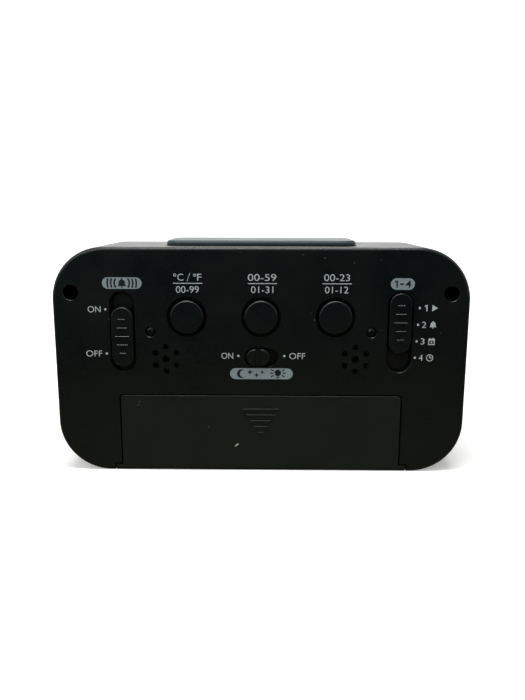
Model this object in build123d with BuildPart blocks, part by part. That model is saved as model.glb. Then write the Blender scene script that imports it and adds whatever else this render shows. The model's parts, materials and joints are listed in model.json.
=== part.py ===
from build123d import *
import os
from math import pi

# A battery alarm clock with a liquid-crystal display, three keys and three slide switches behind,
# and a snooze bar on top. It stands on Z = 0, shows its display towards -Y and has its controls
# towards +Y. Lengths are millimetres. Places on the rear are given as seen from behind: "a" runs
# to the viewer's right, which is -X, and "z" runs up from the base.

# Case
case_width = 150.0
case_height = 83.3
case_depth = 46.0
corner_radius = 19.0
wall = 2.2
bezel_thickness = 3.0
front_edge_radius = 2.4
rear_edge_radius = 1.2
rim_bevel = 0.1
line_bevel = 0.12
seam_bevel = 0.3

# Clearances that pieces share
overrun = 1.0
fit_gap = 0.2
slide_gap = 0.3
touch_gap = 0.1
thread_gap = 0.05

# Rear cover
cover_plate = 2.0
lip_length = 3.0
lip_thickness = 1.4
rib_thickness = 1.0
snap_rise = 11.0
snap_width = 8.0
snap_length = 12.0
snap_thickness = 1.4
snap_hook_reach = 0.8
snap_hook_length = 2.0
sound_hole_step = 5.55
sound_hole_share = 0.2662
sound_ring_radius = 4.5
sound_ring_holes = 6
sound_ring_hole_diameter = 2.1
sound_centre_hole_diameter = 2.7
sound_ring_turn = 90

# Battery door, which runs down in two grooves and folds under the base
door_width = 103.2
door_height = 29.1
door_thickness = 1.8
door_corner_radius = 1.0
door_gap = 0.2
door_seam = 0.5
door_edge = 0.1
door_tab_width = 108.4
door_tab_height = 2.4
door_foot_depth = 14.0
door_foot_thickness = 2.1
tongue_reach = 1.0
tongue_thickness = 0.8
ledge_reach = 2.0
ledge_seat = 0.25
ledge_thickness = 1.5
grip_top_z = 23.9
grip_pitch = 2.24
grip_lines = 5
grip_longest = 13.4
grip_shortest = 2.4
grip_line_height = 0.7
grip_line_proud = 0.35

# Battery bay and its four cells in two rows
cell_diameter = 10.5
cell_length = 44.5
cell_nub_diameter = 3.8
cell_nub_length = 0.8
cell_rim_bevel = 0.5
cradle_rise = 2.6
row_gap = 0.7
tub_wall = 1.6
tub_floor_gap = 0.25
tub_bottom_gap = 0.2
contact_thickness = 0.4
contact_width = 9.0
contact_bump_reach = 0.8
contact_bump_diameter = 5.0
contact_bump_taper = 20.0
contact_spring_length = 5.4
contact_spring_radius = 3.4
contact_spring_cone = 14.0
contact_spring_turns = 3
contact_wire = 0.7
contact_wire_sides = 6
tail_width = 3.0
tail_length = 3.0

# Screws
case_screw_inset = 6.8
case_screw_drop = 16.3
case_screw_bore = 5.5
case_screw_tower = 8.0
case_screw_post = 7.0
case_screw_bore_depth = 20.0
case_screw_head = 5.0
case_screw_head_height = 2.0
case_screw_thread = 2.6
case_screw_length = 12.0
case_screw_floor = 2.0
switch_screw_step = 10.0
switch_screw_share = 0.5378
switch_screw_recess = 3.8
switch_screw_sink = 0.4
switch_screw_head = 3.2
switch_screw_head_height = 1.8
switch_screw_thread = 2.0
switch_screw_length = 7.0
switch_screw_boss = 6.0
switch_screw_boss_depth = 2.0
small_screw_head = 4.0
small_screw_head_height = 1.5
small_screw_thread = 2.0
small_screw_length = 6.0
driver_slot_width = 0.6
driver_slot_depth = 0.6
head_crown = 0.45
head_taper = 62
driver_slot_share = 0.6

# Switch board behind the cover, and the carrier that clamps it
board_thickness = 1.2
switch_board_inset = 16.0
switch_board_rise = 2.45
switch_board_drop = 13.3
switch_board_depth = 8.0
board_post_inset = 3.5
board_post_diameter = 4.0
carrier_overhang = 10.0
carrier_height = 12.0
carrier_thickness = 2.0
carrier_boss_diameter = 5.0
carrier_rib_height = 2.5

# Three round keys and the switches under them
key_pitch_share = 0.3567
key_shift = 0.13
key_share = 0.6865
key_diameter_share = 0.3243
key_well_reach = 1.15
key_well_depth = 0.9
key_proud = 0.8
key_edge = 0.6
key_flange_reach = 1.25
key_flange_thickness = 1.0
key_wall = 1.4
key_stem_diameter = 5.0
key_travel = 0.5
tact_size = 6.0
tact_height = 3.5
tact_leg_width = 0.8
tact_plunger_diameter = 3.4
tact_plunger_proud = 0.9

# Slide switches, in slots that stand upright or lie level
upright = 90
level = 0
slider_proud = 0.9
slider_flange_reach = 2.1
slider_flange_thickness = 1.8
slider_edge = 0.4
slider_rib_count = 5
slider_rib_pitch_share = 0.1422
slider_rib_width = 0.9
slider_rib_height = 0.45
slider_rib_longest = 5.2
slider_rib_shortest = 2.7
slider_post_width = 4.0
slider_post_length = 8.0
wiper_thickness = 0.4
wiper_bump = 0.7
wiper_overhang = 2.0
tall_slot_width = 9.0
tall_slot_length_share = 0.7946
tall_slot_share = 0.5365
tall_knob_width = 7.9
tall_knob_end_gap = 0.35
alarm_slot_share = 0.6667
alarm_rest_offset = -1.85
alarm_travel = 3.5
set_slot_share = 0.6693
set_rest_offset = 3.5
set_travel = 6.9
slider_cover_margin = 0.35
night_slot_a = 0.25
night_slot_share = 0.2881
night_slot_stretch = 5.2
night_slot_height_share = 0.1865
night_knob_stretch = 2.4
night_knob_gap = 0.4
night_rest_offset = -1.18
night_travel = 2.4
night_groove_width = 1.9
night_groove_depth = 0.3

# Buzzer and temperature sensor behind the sound holes
buzzer_diameter_share = 0.3946
buzzer_height = 4.5
buzzer_gasket_thickness = 0.5
buzzer_rim = 2.0
buzzer_pin = 0.8
buzzer_pin_spacing = 7.0
sensor_bead = 2.6
sensor_leg = 0.6
sensor_leg_spacing = 1.4
sensor_drop = 1.2
sensor_bevel = 0.7

# Snooze bar on top
bar_length = 70.0
bar_corner_radius = 5.0
bar_rise = 2.0
bar_rear_inset = 8.5
bar_front_inset = 9.5
bar_edge_radius = 1.2
bar_gap = 0.5
bar_top = 2.0
bar_wall = 1.6
bar_flange_reach = 1.5
bar_flange_thickness = 1.5
bar_travel = 1.5
bar_stem_length = 10.0
bar_stem_depth = 5.0
snooze_contact_thickness = 0.3
snooze_contact_length = 13.0
spring_inset = 11.0
spring_radius = 2.4
spring_wire = 0.6
spring_wire_sides = 4
spring_turns = 4
spring_length = 9.0
spring_pin_diameter = 3.4
spring_pin_length = 2.0
spring_pad_diameter = 7.0
snooze_board_overhang = 5.0
snooze_board_depth = 12.0
snooze_post_gap = 5.5
snooze_post_diameter = 6.0

# Display and the board behind it
lens_border = 7.0
lens_thickness = 1.35
lens_sink = 0.1
tape_thickness = 0.15
window_side = 12.0
window_head = 8.65
window_corner_radius = 2.0
gasket_thickness = 0.4
gasket_border = 2.0
lcd_overlap = 3.0
lcd_thickness = 2.8
sheet_thickness = 0.25
guide_side = 2.0
guide_head = 5.0
guide_thickness = 3.8
strip_inset = 9.0
strip_height = 2.0
led_length = 3.0
led_width = 1.6
led_depth = 2.4
holder_border = 4.0
holder_corner_radius = 3.0
ear_inset = 8.5
ear_rise = 1.0
ear_drop = 12.0
ear_radius = 3.0
ear_thickness = 3.0
ear_post_diameter = 5.4

# Parts on the main board, and the wiring
chip_offset = 12.0
chip_diameter = 13.0
chip_height = 1.8
chip_bevel = 1.2
crystal_offset = -14.0
crystal_rise = 8.0
crystal_diameter = 3.0
crystal_length = 8.0
capacitor_offset = 34.0
capacitor_rise = 10.0
capacitor_diameter = 5.0
capacitor_height = 7.0
capacitor_bevel = 0.5
ribbon_width = 14.0
ribbon_thickness = 0.9
ribbon_rise = 5.0
ribbon_fall = 7.0
ribbon_radius_share = 0.1
lead_diameter = 1.3
lead_sides = 6
lead_end_share = 0.33
lead_spread = 6.0
lead_lift = 7.0
lead_radius_share = 0.18
snooze_lead_spacing = 8.0
snooze_lead_fall = 9.7

# Stations along the depth, worked out from the sizes above
rear_y = case_depth / 2
front_y = -case_depth / 2
seam_y = rear_y - cover_plate
middle_z = case_height / 2
shelf_y = front_y + bezel_thickness
lens_seat_y = front_y + lens_sink + lens_thickness + tape_thickness
lcd_front_y = shelf_y + gasket_thickness
lcd_back_y = lcd_front_y + lcd_thickness
guide_front_y = lcd_back_y + sheet_thickness
guide_back_y = guide_front_y + guide_thickness
main_front_y = guide_back_y + sheet_thickness
main_rear_y = main_front_y + board_thickness
board_rear_y = seam_y - switch_board_depth
board_front_y = board_rear_y - board_thickness
key_base_y = board_rear_y + tact_height + tact_plunger_proud + touch_gap
key_flange_y = key_base_y + key_flange_thickness
key_collar_y = key_flange_y + slide_gap
key_top_y = rear_y + key_proud
flange_top_y = seam_y - slide_gap
flange_base_y = flange_top_y - slider_flange_thickness
wiper_y = board_rear_y + touch_gap + wiper_bump
screw_boss_y = seam_y - switch_screw_boss_depth

# Battery bay, worked out round the cells
door_inner_y = rear_y - door_thickness
cell_y = seam_y - cell_diameter / 2 - door_gap - fit_gap
tub_floor_y = cell_y - cell_diameter / 2 - tub_floor_gap
tub_front_y = tub_floor_y - tub_wall
tub_outer_bottom = wall + tub_bottom_gap
tub_bottom = tub_outer_bottom + tub_wall
row_pitch = cell_diameter + row_gap
low_row_z = tub_bottom + fit_gap + cell_diameter / 2
high_row_z = low_row_z + row_pitch
tub_top = high_row_z + cell_diameter / 2 + fit_gap
bump_depth = contact_thickness + contact_bump_reach
bay_length = 2 * cell_length + contact_thickness + contact_spring_length + bump_depth
bay_end = bay_length / 2
ledge_half_width = door_width / 2 + ledge_reach
ledge_top = door_height + tongue_reach + fit_gap + ledge_seat
foot_front_y = rear_y - door_foot_depth

# Places on the rear: across from the middle, and up over the height left between bay and top
half_width = case_width / 2
snap_z = corner_radius + snap_rise
case_screw_a = half_width - case_screw_inset
case_screw_z = case_height - case_screw_drop
case_screw_places = [(-case_screw_a, case_screw_z), (case_screw_a, case_screw_z)]
switch_board_width = case_width - 2 * switch_board_inset
switch_board_top = case_height - switch_board_drop
switch_board_bottom = ledge_top + switch_board_rise
switch_board_height = switch_board_top - switch_board_bottom
board_middle_z = (switch_board_bottom + switch_board_top) / 2
alarm_slot_a = -alarm_slot_share * half_width
set_slot_a = set_slot_share * half_width
tall_slot_z = switch_board_bottom + tall_slot_share * switch_board_height
tall_slot_length = tall_slot_length_share * switch_board_height
tall_knob_length = tall_slot_length - set_travel - 2 * tall_knob_end_gap
slider_rib_pitch = slider_rib_pitch_share * tall_knob_length
alarm_rest_z = tall_slot_z + alarm_rest_offset
set_rest_z = tall_slot_z + set_rest_offset
switch_screw_a = -alarm_slot_a - switch_screw_step
switch_screw_z = switch_board_bottom + switch_screw_share * switch_board_height
switch_screw_places = [(-switch_screw_a, switch_screw_z), (switch_screw_a, switch_screw_z)]
sound_hole_a = switch_screw_a - sound_hole_step
sound_hole_z = switch_board_bottom + sound_hole_share * switch_board_height
buzzer_diameter = buzzer_diameter_share * switch_board_height
key_pitch = key_pitch_share * half_width
key_diameter = key_diameter_share * switch_board_height
key_well_diameter = key_diameter + 2 * key_well_reach
key_z = switch_board_bottom + key_share * switch_board_height
key_places = [(key_shift + step * key_pitch, key_z) for step in (-1, 0, 1)]
board_post_a = key_pitch / 2
night_slot_z = switch_board_bottom + night_slot_share * switch_board_height
night_slot_height = night_slot_height_share * switch_board_height
night_slot_width = night_slot_height + night_slot_stretch
night_knob_height = night_slot_height - 2 * night_knob_gap
night_knob_width = night_knob_height + night_knob_stretch
night_rest_a = night_slot_a + night_rest_offset

# Display stack, worked out from the case inwards
lens_width = case_width - 2 * lens_border
lens_height = case_height - 2 * lens_border
lens_corner_radius = corner_radius - lens_border
window_width = lens_width - 2 * window_side
window_height = lens_height - 2 * window_head
lcd_width = window_width + 2 * lcd_overlap
lcd_height = window_height + 2 * lcd_overlap
guide_width = lcd_width - 2 * guide_side
guide_height = lcd_height - 2 * guide_head
strip_length = lcd_width - 2 * strip_inset
strip_offset = (guide_height + lcd_height) / 4
holder_width = lcd_width + 2 * holder_border
holder_height = lcd_height + 2 * holder_border
ear_a = half_width - ear_inset
ear_low_z = corner_radius + ear_rise
ear_high_z = case_screw_z - ear_drop
ear_places = [(side * ear_a, z) for side in (-1, 1) for z in (ear_low_z, ear_high_z)]

# Snooze bar, worked out from the top of the case
bar_depth = case_depth - bar_rear_inset - bar_front_inset
bar_y = rear_y - bar_rear_inset - bar_depth / 2
bar_top_z = case_height + bar_rise
ceiling_z = case_height - wall
bar_flange_top = ceiling_z - slide_gap
bar_flange_base = bar_flange_top - bar_flange_thickness
bar_inner_z = bar_top_z - bar_top
spring_top_z = ceiling_z - fit_gap
spring_base_z = spring_top_z - spring_length
snooze_contact_z = spring_base_z + bar_travel + touch_gap
spring_spot = bar_length / 2 - spring_inset
snooze_post_a = bar_length / 2 + bar_flange_reach + snooze_post_gap
snooze_board_length = 2 * (snooze_post_a + snooze_board_overhang)

os.makedirs("parts", exist_ok=True)


def rear_view(y):
    """The plane at that depth as seen from behind: across is a, up is z, and out is +Y."""
    return Plane(origin=(0, y, 0), x_dir=(-1, 0, 0), z_dir=(0, 1, 0))


def case_outline(inset=0.0, mode=Mode.ADD):
    """The rounded outline of the case, drawn that far inside its outer face."""
    with Locations((0, middle_z)):
        RectangleRounded(
            case_width - 2 * inset, case_height - 2 * inset, corner_radius - inset, mode=mode
        )


def box_between(y0, y1, width, height, centre=(0, 0), mode=Mode.ADD):
    """A block on the rear view from depth y0 back to depth y1."""
    with BuildSketch(rear_view(y0)) as profile:
        with Locations(centre):
            Rectangle(width, height)
    extrude(profile.sketch, amount=y1 - y0, mode=mode)


def round_box_between(y0, y1, width, height, radius, centre=(0, 0), mode=Mode.ADD):
    """A block with rounded corners on the rear view from depth y0 back to depth y1."""
    with BuildSketch(rear_view(y0)) as profile:
        with Locations(centre):
            RectangleRounded(width, height, radius)
    extrude(profile.sketch, amount=y1 - y0, mode=mode)


def slot_between(y0, y1, length, width, turn, centre, mode=Mode.ADD):
    """A round-ended slot shape on the rear view from depth y0 back to depth y1."""
    with BuildSketch(rear_view(y0)) as profile:
        with Locations(centre):
            SlotOverall(length, width, rotation=turn)
    extrude(profile.sketch, amount=y1 - y0, mode=mode)


def rods_between(y0, y1, diameter, places, mode=Mode.ADD):
    """Round bars along the depth from y0 back to y1, one at each place on the rear view."""
    with BuildSketch(rear_view(y0)) as profile:
        with Locations(*places):
            Circle(diameter / 2)
    extrude(profile.sketch, amount=y1 - y0, mode=mode)


def write(builder, name):
    """Label a finished piece and write it to its own file."""
    builder.part.label = name
    export_step(builder.part, f"parts/{name}.step")


# Front housing: the sleeve and the front frame in one moulding
with BuildPart() as front_housing:
    with BuildSketch(rear_view(front_y)):
        case_outline()
    extrude(amount=seam_y - front_y)
    fillet(front_housing.faces().sort_by(Axis.Y)[0].outer_wire().edges(), front_edge_radius)
    chamfer(front_housing.faces().sort_by(Axis.Y)[-1].outer_wire().edges(), seam_bevel)
    with BuildSketch(rear_view(shelf_y)):
        case_outline(wall)
    extrude(amount=seam_y - shelf_y, mode=Mode.SUBTRACT)
    # Shallow seat for the lens, and the window through the frame
    round_box_between(
        front_y,
        lens_seat_y,
        lens_width + 2 * fit_gap,
        lens_height + 2 * fit_gap,
        lens_corner_radius + fit_gap,
        (0, middle_z),
        Mode.SUBTRACT,
    )
    round_box_between(
        front_y,
        shelf_y,
        window_width,
        window_height,
        window_corner_radius,
        (0, middle_z),
        Mode.SUBTRACT,
    )
    # Posts for the case screws and for the display's four screws
    case_post_y = rear_y - case_screw_bore_depth - case_screw_floor
    rods_between(shelf_y, case_post_y, case_screw_post, case_screw_places)
    rods_between(
        case_post_y - case_screw_length,
        case_post_y,
        case_screw_thread + 2 * thread_gap,
        case_screw_places,
        Mode.SUBTRACT,
    )
    ear_front_y = main_front_y - ear_thickness
    rods_between(shelf_y, ear_front_y, ear_post_diameter, ear_places)
    rods_between(
        shelf_y,
        ear_front_y,
        small_screw_thread + 2 * thread_gap,
        ear_places,
        Mode.SUBTRACT,
    )
    # Opening for the snooze bar, and the two posts that carry its board
    with BuildSketch(Plane.XY.offset(ceiling_z)):
        with Locations((0, bar_y)):
            RectangleRounded(
                bar_length + 2 * bar_gap, bar_depth + 2 * bar_gap, bar_corner_radius + bar_gap
            )
    extrude(amount=wall + overrun, mode=Mode.SUBTRACT)
    with BuildSketch(Plane.XY.offset(spring_base_z)):
        with Locations((-snooze_post_a, bar_y), (snooze_post_a, bar_y)):
            Circle(snooze_post_diameter / 2)
    extrude(amount=ceiling_z - spring_base_z)
    with BuildSketch(Plane.XY.offset(spring_base_z)):
        with Locations((-snooze_post_a, bar_y), (snooze_post_a, bar_y)):
            Circle(small_screw_thread / 2 + thread_gap)
    extrude(amount=small_screw_length, mode=Mode.SUBTRACT)
    # Notch in the base for the foot of the battery door
    with BuildSketch(Plane.XY.offset(-overrun)):
        with Locations((0, (foot_front_y - door_gap + seam_y) / 2)):
            Rectangle(door_tab_width + 2 * door_gap, seam_y - foot_front_y + door_gap)
    extrude(amount=wall + 2 * overrun, mode=Mode.SUBTRACT)
    # Pockets in the side walls that the cover's snap hooks drop into
    for side in (-1, 1):
        box_between(
            seam_y - snap_length - fit_gap,
            seam_y - snap_length + snap_hook_length + fit_gap,
            snap_hook_reach + 2 * fit_gap,
            snap_width + 2 * fit_gap,
            (side * (case_width / 2 - wall + snap_hook_reach / 2), snap_z),
            Mode.SUBTRACT,
        )
write(front_housing, "front_housing")

# Rear cover: the plate with its lip, battery bay, screw towers, key collars and slots
tall_slots = [(alarm_slot_a, tall_slot_z), (set_slot_a, tall_slot_z)]
tower_end_y = rear_y - case_screw_bore_depth - case_screw_floor
with BuildPart() as rear_cover:
    with BuildSketch(rear_view(seam_y)):
        case_outline()
    extrude(amount=cover_plate)
    fillet(rear_cover.faces().sort_by(Axis.Y)[-1].outer_wire().edges(), rear_edge_radius)
    with BuildSketch(rear_view(seam_y - lip_length)):
        case_outline(wall + fit_gap)
        case_outline(wall + fit_gap + lip_thickness, Mode.SUBTRACT)
    extrude(amount=lip_length)
    # Snap arms at the sides, hooked outwards
    for side in (-1, 1):
        arm_a = case_width / 2 - wall - fit_gap - snap_thickness / 2
        box_between(
            seam_y - snap_length, seam_y, snap_thickness, snap_width, (side * arm_a, snap_z)
        )
        box_between(
            seam_y - snap_length,
            seam_y - snap_length + snap_hook_length,
            snap_thickness + 2 * snap_hook_reach,
            snap_width,
            (side * arm_a, snap_z),
        )
    # Door opening, then the ledge behind it and the bay's walls
    with BuildSketch(rear_view(seam_y)):
        with Locations((0, (door_height + door_seam - overrun) / 2)):
            RectangleRounded(
                door_width + 2 * door_seam,
                door_height + door_seam + overrun,
                door_corner_radius + door_seam,
            )
        with Locations((0, (door_tab_height + door_seam - overrun) / 2)):
            Rectangle(door_tab_width + 2 * door_seam, door_tab_height + door_seam + overrun)
    extrude(amount=cover_plate, mode=Mode.SUBTRACT)
    box_between(
        seam_y - ledge_thickness,
        seam_y,
        2 * ledge_half_width,
        ledge_top - tub_outer_bottom,
        (0, (ledge_top + tub_outer_bottom) / 2),
    )
    box_between(
        tub_front_y,
        seam_y,
        bay_length + 2 * tub_wall,
        tub_top + tub_wall - tub_outer_bottom,
        (0, (tub_top + tub_wall + tub_outer_bottom) / 2),
    )
    box_between(
        tub_floor_y,
        seam_y,
        bay_length,
        tub_top - tub_bottom,
        (0, (tub_top + tub_bottom) / 2),
        Mode.SUBTRACT,
    )
    # Cradle ribs between the two rows of cells
    for side in (-1, 1):
        box_between(
            tub_floor_y,
            tub_floor_y + cradle_rise,
            rib_thickness,
            row_gap,
            (side * cell_length / 2, (low_row_z + high_row_z) / 2),
        )
    # Slots in the bay's floor for the solder tails of the two end contacts
    for row_z in (low_row_z, high_row_z):
        box_between(
            tub_front_y,
            tub_floor_y,
            contact_thickness + 2 * fit_gap,
            tail_width + 2 * fit_gap,
            (-(bay_end - contact_thickness / 2 - fit_gap), row_z),
            Mode.SUBTRACT,
        )
    # Grooves round the opening for the door's tongues
    groove_top = door_height + tongue_reach + fit_gap
    with BuildSketch(rear_view(seam_y)):
        with Locations((0, groove_top / 2)):
            Rectangle(door_width + 2 * (tongue_reach + fit_gap), groove_top)
    extrude(
        amount=door_inner_y + tongue_thickness + fit_gap - seam_y,
        mode=Mode.SUBTRACT,
    )
    # Screw towers, the collars round the keys and the bosses of the small screws
    rods_between(tower_end_y, seam_y, case_screw_tower, case_screw_places)
    rods_between(key_collar_y, seam_y, key_diameter + 2 * (key_flange_reach + slide_gap), key_places)
    rods_between(screw_boss_y, seam_y, switch_screw_boss, switch_screw_places)
    # Posts that press on the switch board
    post_places = [
        (side * board_post_a, z)
        for side in (-1, 1)
        for z in (switch_board_bottom + board_post_inset, switch_board_top - board_post_inset)
    ]
    rods_between(board_rear_y, seam_y, board_post_diameter, post_places)
    # Guide ribs beside the two tall sliders
    rib_offset = tall_knob_width / 2 + slider_flange_reach + slide_gap + rib_thickness / 2
    for slot_a, slot_z in tall_slots:
        for side in (-1, 1):
            box_between(
                flange_base_y,
                seam_y,
                rib_thickness,
                tall_slot_length,
                (slot_a + side * rib_offset, slot_z),
            )
    # Ring that holds the buzzer against the inside of the cover
    buzzer_base_y = seam_y - buzzer_gasket_thickness - buzzer_height
    rods_between(
        buzzer_base_y,
        seam_y,
        buzzer_diameter + 2 * (fit_gap + rib_thickness),
        [(sound_hole_a, sound_hole_z)],
    )
    rods_between(
        buzzer_base_y,
        seam_y,
        buzzer_diameter + 2 * fit_gap,
        [(sound_hole_a, sound_hole_z)],
        Mode.SUBTRACT,
    )
    # Wells and bores of the keys
    rods_between(rear_y - key_well_depth, rear_y, key_well_diameter, key_places, Mode.SUBTRACT)
    rods_between(
        key_collar_y, rear_y, key_diameter + 2 * fit_gap, key_places, Mode.SUBTRACT
    )
    # Slots of the three sliders
    for slot_a, slot_z in tall_slots:
        slot_between(
            seam_y,
            rear_y,
            tall_slot_length,
            tall_slot_width,
            upright,
            (slot_a, slot_z),
            Mode.SUBTRACT,
        )
    slot_between(
        seam_y,
        rear_y,
        night_slot_width,
        night_slot_height,
        level,
        (night_slot_a, night_slot_z),
        Mode.SUBTRACT,
    )
    # Bores of the case screws and the recesses of the small screws
    rods_between(
        tower_end_y + case_screw_floor,
        rear_y,
        case_screw_bore,
        case_screw_places,
        Mode.SUBTRACT,
    )
    rods_between(
        tower_end_y,
        rear_y,
        case_screw_thread + 2 * fit_gap,
        case_screw_places,
        Mode.SUBTRACT,
    )
    rods_between(
        rear_y - switch_screw_sink - switch_screw_head_height,
        rear_y,
        switch_screw_recess,
        switch_screw_places,
        Mode.SUBTRACT,
    )
    rods_between(
        screw_boss_y,
        rear_y,
        switch_screw_thread + 2 * thread_gap,
        switch_screw_places,
        Mode.SUBTRACT,
    )
    # Two rosettes of sound holes
    with BuildSketch(rear_view(seam_y)):
        with Locations((-sound_hole_a, sound_hole_z), (sound_hole_a, sound_hole_z)):
            Circle(sound_centre_hole_diameter / 2)
            with PolarLocations(sound_ring_radius, sound_ring_holes, start_angle=sound_ring_turn):
                Circle(sound_ring_hole_diameter / 2)
    extrude(amount=cover_plate, mode=Mode.SUBTRACT)
    # A broken edge round every well, slot and screw bore
    largest_sound_hole = pi * max(sound_centre_hole_diameter, sound_ring_hole_diameter)
    openings = rear_cover.faces().sort_by(Axis.Y)[-1].inner_wires()
    rims = [wire for wire in openings if wire.length > largest_sound_hole + rim_bevel]
    chamfer([edge for rim in rims for edge in rim.edges()], rim_bevel)
write(rear_cover, "rear_cover")

# Battery door: a flush panel with a foot under the base and tongues at its sides and top
with BuildPart() as battery_door:
    with BuildSketch(rear_view(door_inner_y)):
        with Locations((0, door_height / 2)):
            RectangleRounded(door_width, door_height, door_corner_radius)
        with Locations((0, door_tab_height / 2)):
            Rectangle(door_tab_width, door_tab_height)
    extrude(amount=door_thickness)
    with BuildSketch(rear_view(foot_front_y)):
        with Locations((0, door_foot_thickness / 2)):
            Rectangle(door_tab_width, door_foot_thickness)
    extrude(amount=rear_y - foot_front_y)
    low_rear_edges = battery_door.edges().filter_by(Axis.X).group_by(Axis.Y)[-1]
    fillet(low_rear_edges.sort_by(Axis.Z)[0], rear_edge_radius)
    panel_edges = battery_door.faces().sort_by(Axis.Y)[-1].outer_wire().edges()
    above_tab = [edge for edge in panel_edges if edge.center().Z > door_tab_height + door_seam]
    chamfer(above_tab, door_edge)
    tongue_bottom = door_tab_height + door_seam
    tongue_top = door_height + tongue_reach
    with BuildSketch(rear_view(door_inner_y)):
        with Locations((0, (tongue_bottom + tongue_top) / 2)):
            Rectangle(door_width + 2 * tongue_reach, tongue_top - tongue_bottom)
    extrude(amount=tongue_thickness)
    # Grip lines, shorter and shorter towards the base
    for line in range(grip_lines):
        share = line / (grip_lines - 1)
        line_length = grip_longest + share * (grip_shortest - grip_longest)
        box_between(
            rear_y,
            rear_y + grip_line_proud,
            line_length,
            grip_line_height,
            (0, grip_top_z - line * grip_pitch),
        )
    chamfer(battery_door.faces().group_by(Axis.Y)[-1].edges(), line_bevel)
write(battery_door, "battery_door")


def make_key(name, place):
    """A hollow round key with a flange behind the cover and a stem over its switch."""
    with BuildPart() as key:
        rods_between(key_base_y, key_top_y, key_diameter, [place])
        fillet(key.faces().sort_by(Axis.Y)[-1].outer_wire().edges(), key_edge)
        rods_between(key_base_y, key_flange_y, key_diameter + 2 * key_flange_reach, [place])
        rods_between(
            key_base_y,
            key_top_y - key_wall,
            key_diameter - 2 * key_wall,
            [place],
            Mode.SUBTRACT,
        )
        rods_between(key_base_y, key_top_y - key_wall, key_stem_diameter, [place])
    write(key, name)


def make_tact_switch(name, plunger_name, place):
    """A square push switch on the switch board, with its plunger as a piece of its own."""
    well_y = board_rear_y + tact_height - tact_plunger_proud - 2 * key_travel
    with BuildPart() as body:
        box_between(board_rear_y, board_rear_y + tact_height, tact_size, tact_size, place)
        rods_between(
            well_y,
            board_rear_y + tact_height,
            tact_plunger_diameter + 2 * touch_gap,
            [place],
            Mode.SUBTRACT,
        )
        leg_a = tact_size / 2 + tact_leg_width / 2
        leg_z = tact_size / 2 - tact_leg_width
        for side in (-1, 1):
            for end in (-1, 1):
                leg_place = (place[0] + side * leg_a, place[1] + end * leg_z)
                box_between(
                    board_rear_y,
                    board_rear_y + tact_leg_width,
                    tact_leg_width,
                    tact_leg_width,
                    leg_place,
                )
    write(body, name)
    with BuildPart() as plunger:
        rods_between(
            well_y + key_travel + touch_gap,
            board_rear_y + tact_height + tact_plunger_proud,
            tact_plunger_diameter,
            [place],
        )
    write(plunger, plunger_name)


for key_name, key_place in zip(("unit", "minute", "hour"), key_places):
    make_key(f"{key_name}_key", key_place)
    make_tact_switch(f"{key_name}_switch", f"{key_name}_plunger", key_place)


def make_wiper(name, place, length, turn):
    """A sprung brass bridge that rubs on the switch board under a slider."""
    across = wiper_overhang + slider_post_width
    width, height = (across, length) if turn == upright else (length, across)
    reach = length / 2 - wiper_bump
    with BuildPart() as wiper:
        box_between(wiper_y, wiper_y + wiper_thickness, width, height, place)
        for end in (-1, 1):
            shift = (0, end * reach) if turn == upright else (end * reach, 0)
            foot_size = (width, 2 * wiper_bump) if turn == upright else (2 * wiper_bump, height)
            box_between(
                wiper_y - wiper_bump,
                wiper_y,
                *foot_size,
                (place[0] + shift[0], place[1] + shift[1]),
            )
    write(wiper, name)


def make_tall_slider(name, slot_a, rest_z, rise, drop):
    """A ribbed slider in one of the tall slots. Its flange hides the slot at both ends of travel."""
    slot_top = tall_slot_z + tall_slot_length / 2
    slot_bottom = tall_slot_z - tall_slot_length / 2
    flange_top = slot_top + drop + slider_cover_margin
    flange_bottom = slot_bottom - rise - slider_cover_margin
    with BuildPart() as slider:
        slot_between(
            flange_top_y,
            rear_y + slider_proud,
            tall_knob_length,
            tall_knob_width,
            upright,
            (slot_a, rest_z),
        )
        fillet(slider.faces().sort_by(Axis.Y)[-1].outer_wire().edges(), slider_edge)
        box_between(
            flange_base_y,
            flange_top_y,
            tall_knob_width + 2 * slider_flange_reach,
            flange_top - flange_bottom,
            (slot_a, (flange_top + flange_bottom) / 2),
        )
        box_between(
            wiper_y + wiper_thickness,
            flange_base_y,
            slider_post_width,
            slider_post_length,
            (slot_a, rest_z),
        )
        middle = (slider_rib_count - 1) / 2
        for line in range(slider_rib_count):
            share = abs(line - middle) / middle
            rib_length = slider_rib_longest + share * (slider_rib_shortest - slider_rib_longest)
            box_between(
                rear_y + slider_proud,
                rear_y + slider_proud + slider_rib_height,
                rib_length,
                slider_rib_width,
                (slot_a, rest_z + (line - middle) * slider_rib_pitch),
            )
        chamfer(slider.faces().group_by(Axis.Y)[-1].edges(), line_bevel)
    write(slider, name)


make_tall_slider("alarm_slider", alarm_slot_a, alarm_rest_z, alarm_travel, 0)
make_tall_slider("set_slider", set_slot_a, set_rest_z, 0, set_travel)
tall_wiper_length = slider_post_length + wiper_overhang
make_wiper("alarm_wiper", (alarm_slot_a, alarm_rest_z), tall_wiper_length, upright)
make_wiper("set_wiper", (set_slot_a, set_rest_z), tall_wiper_length, upright)

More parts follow.
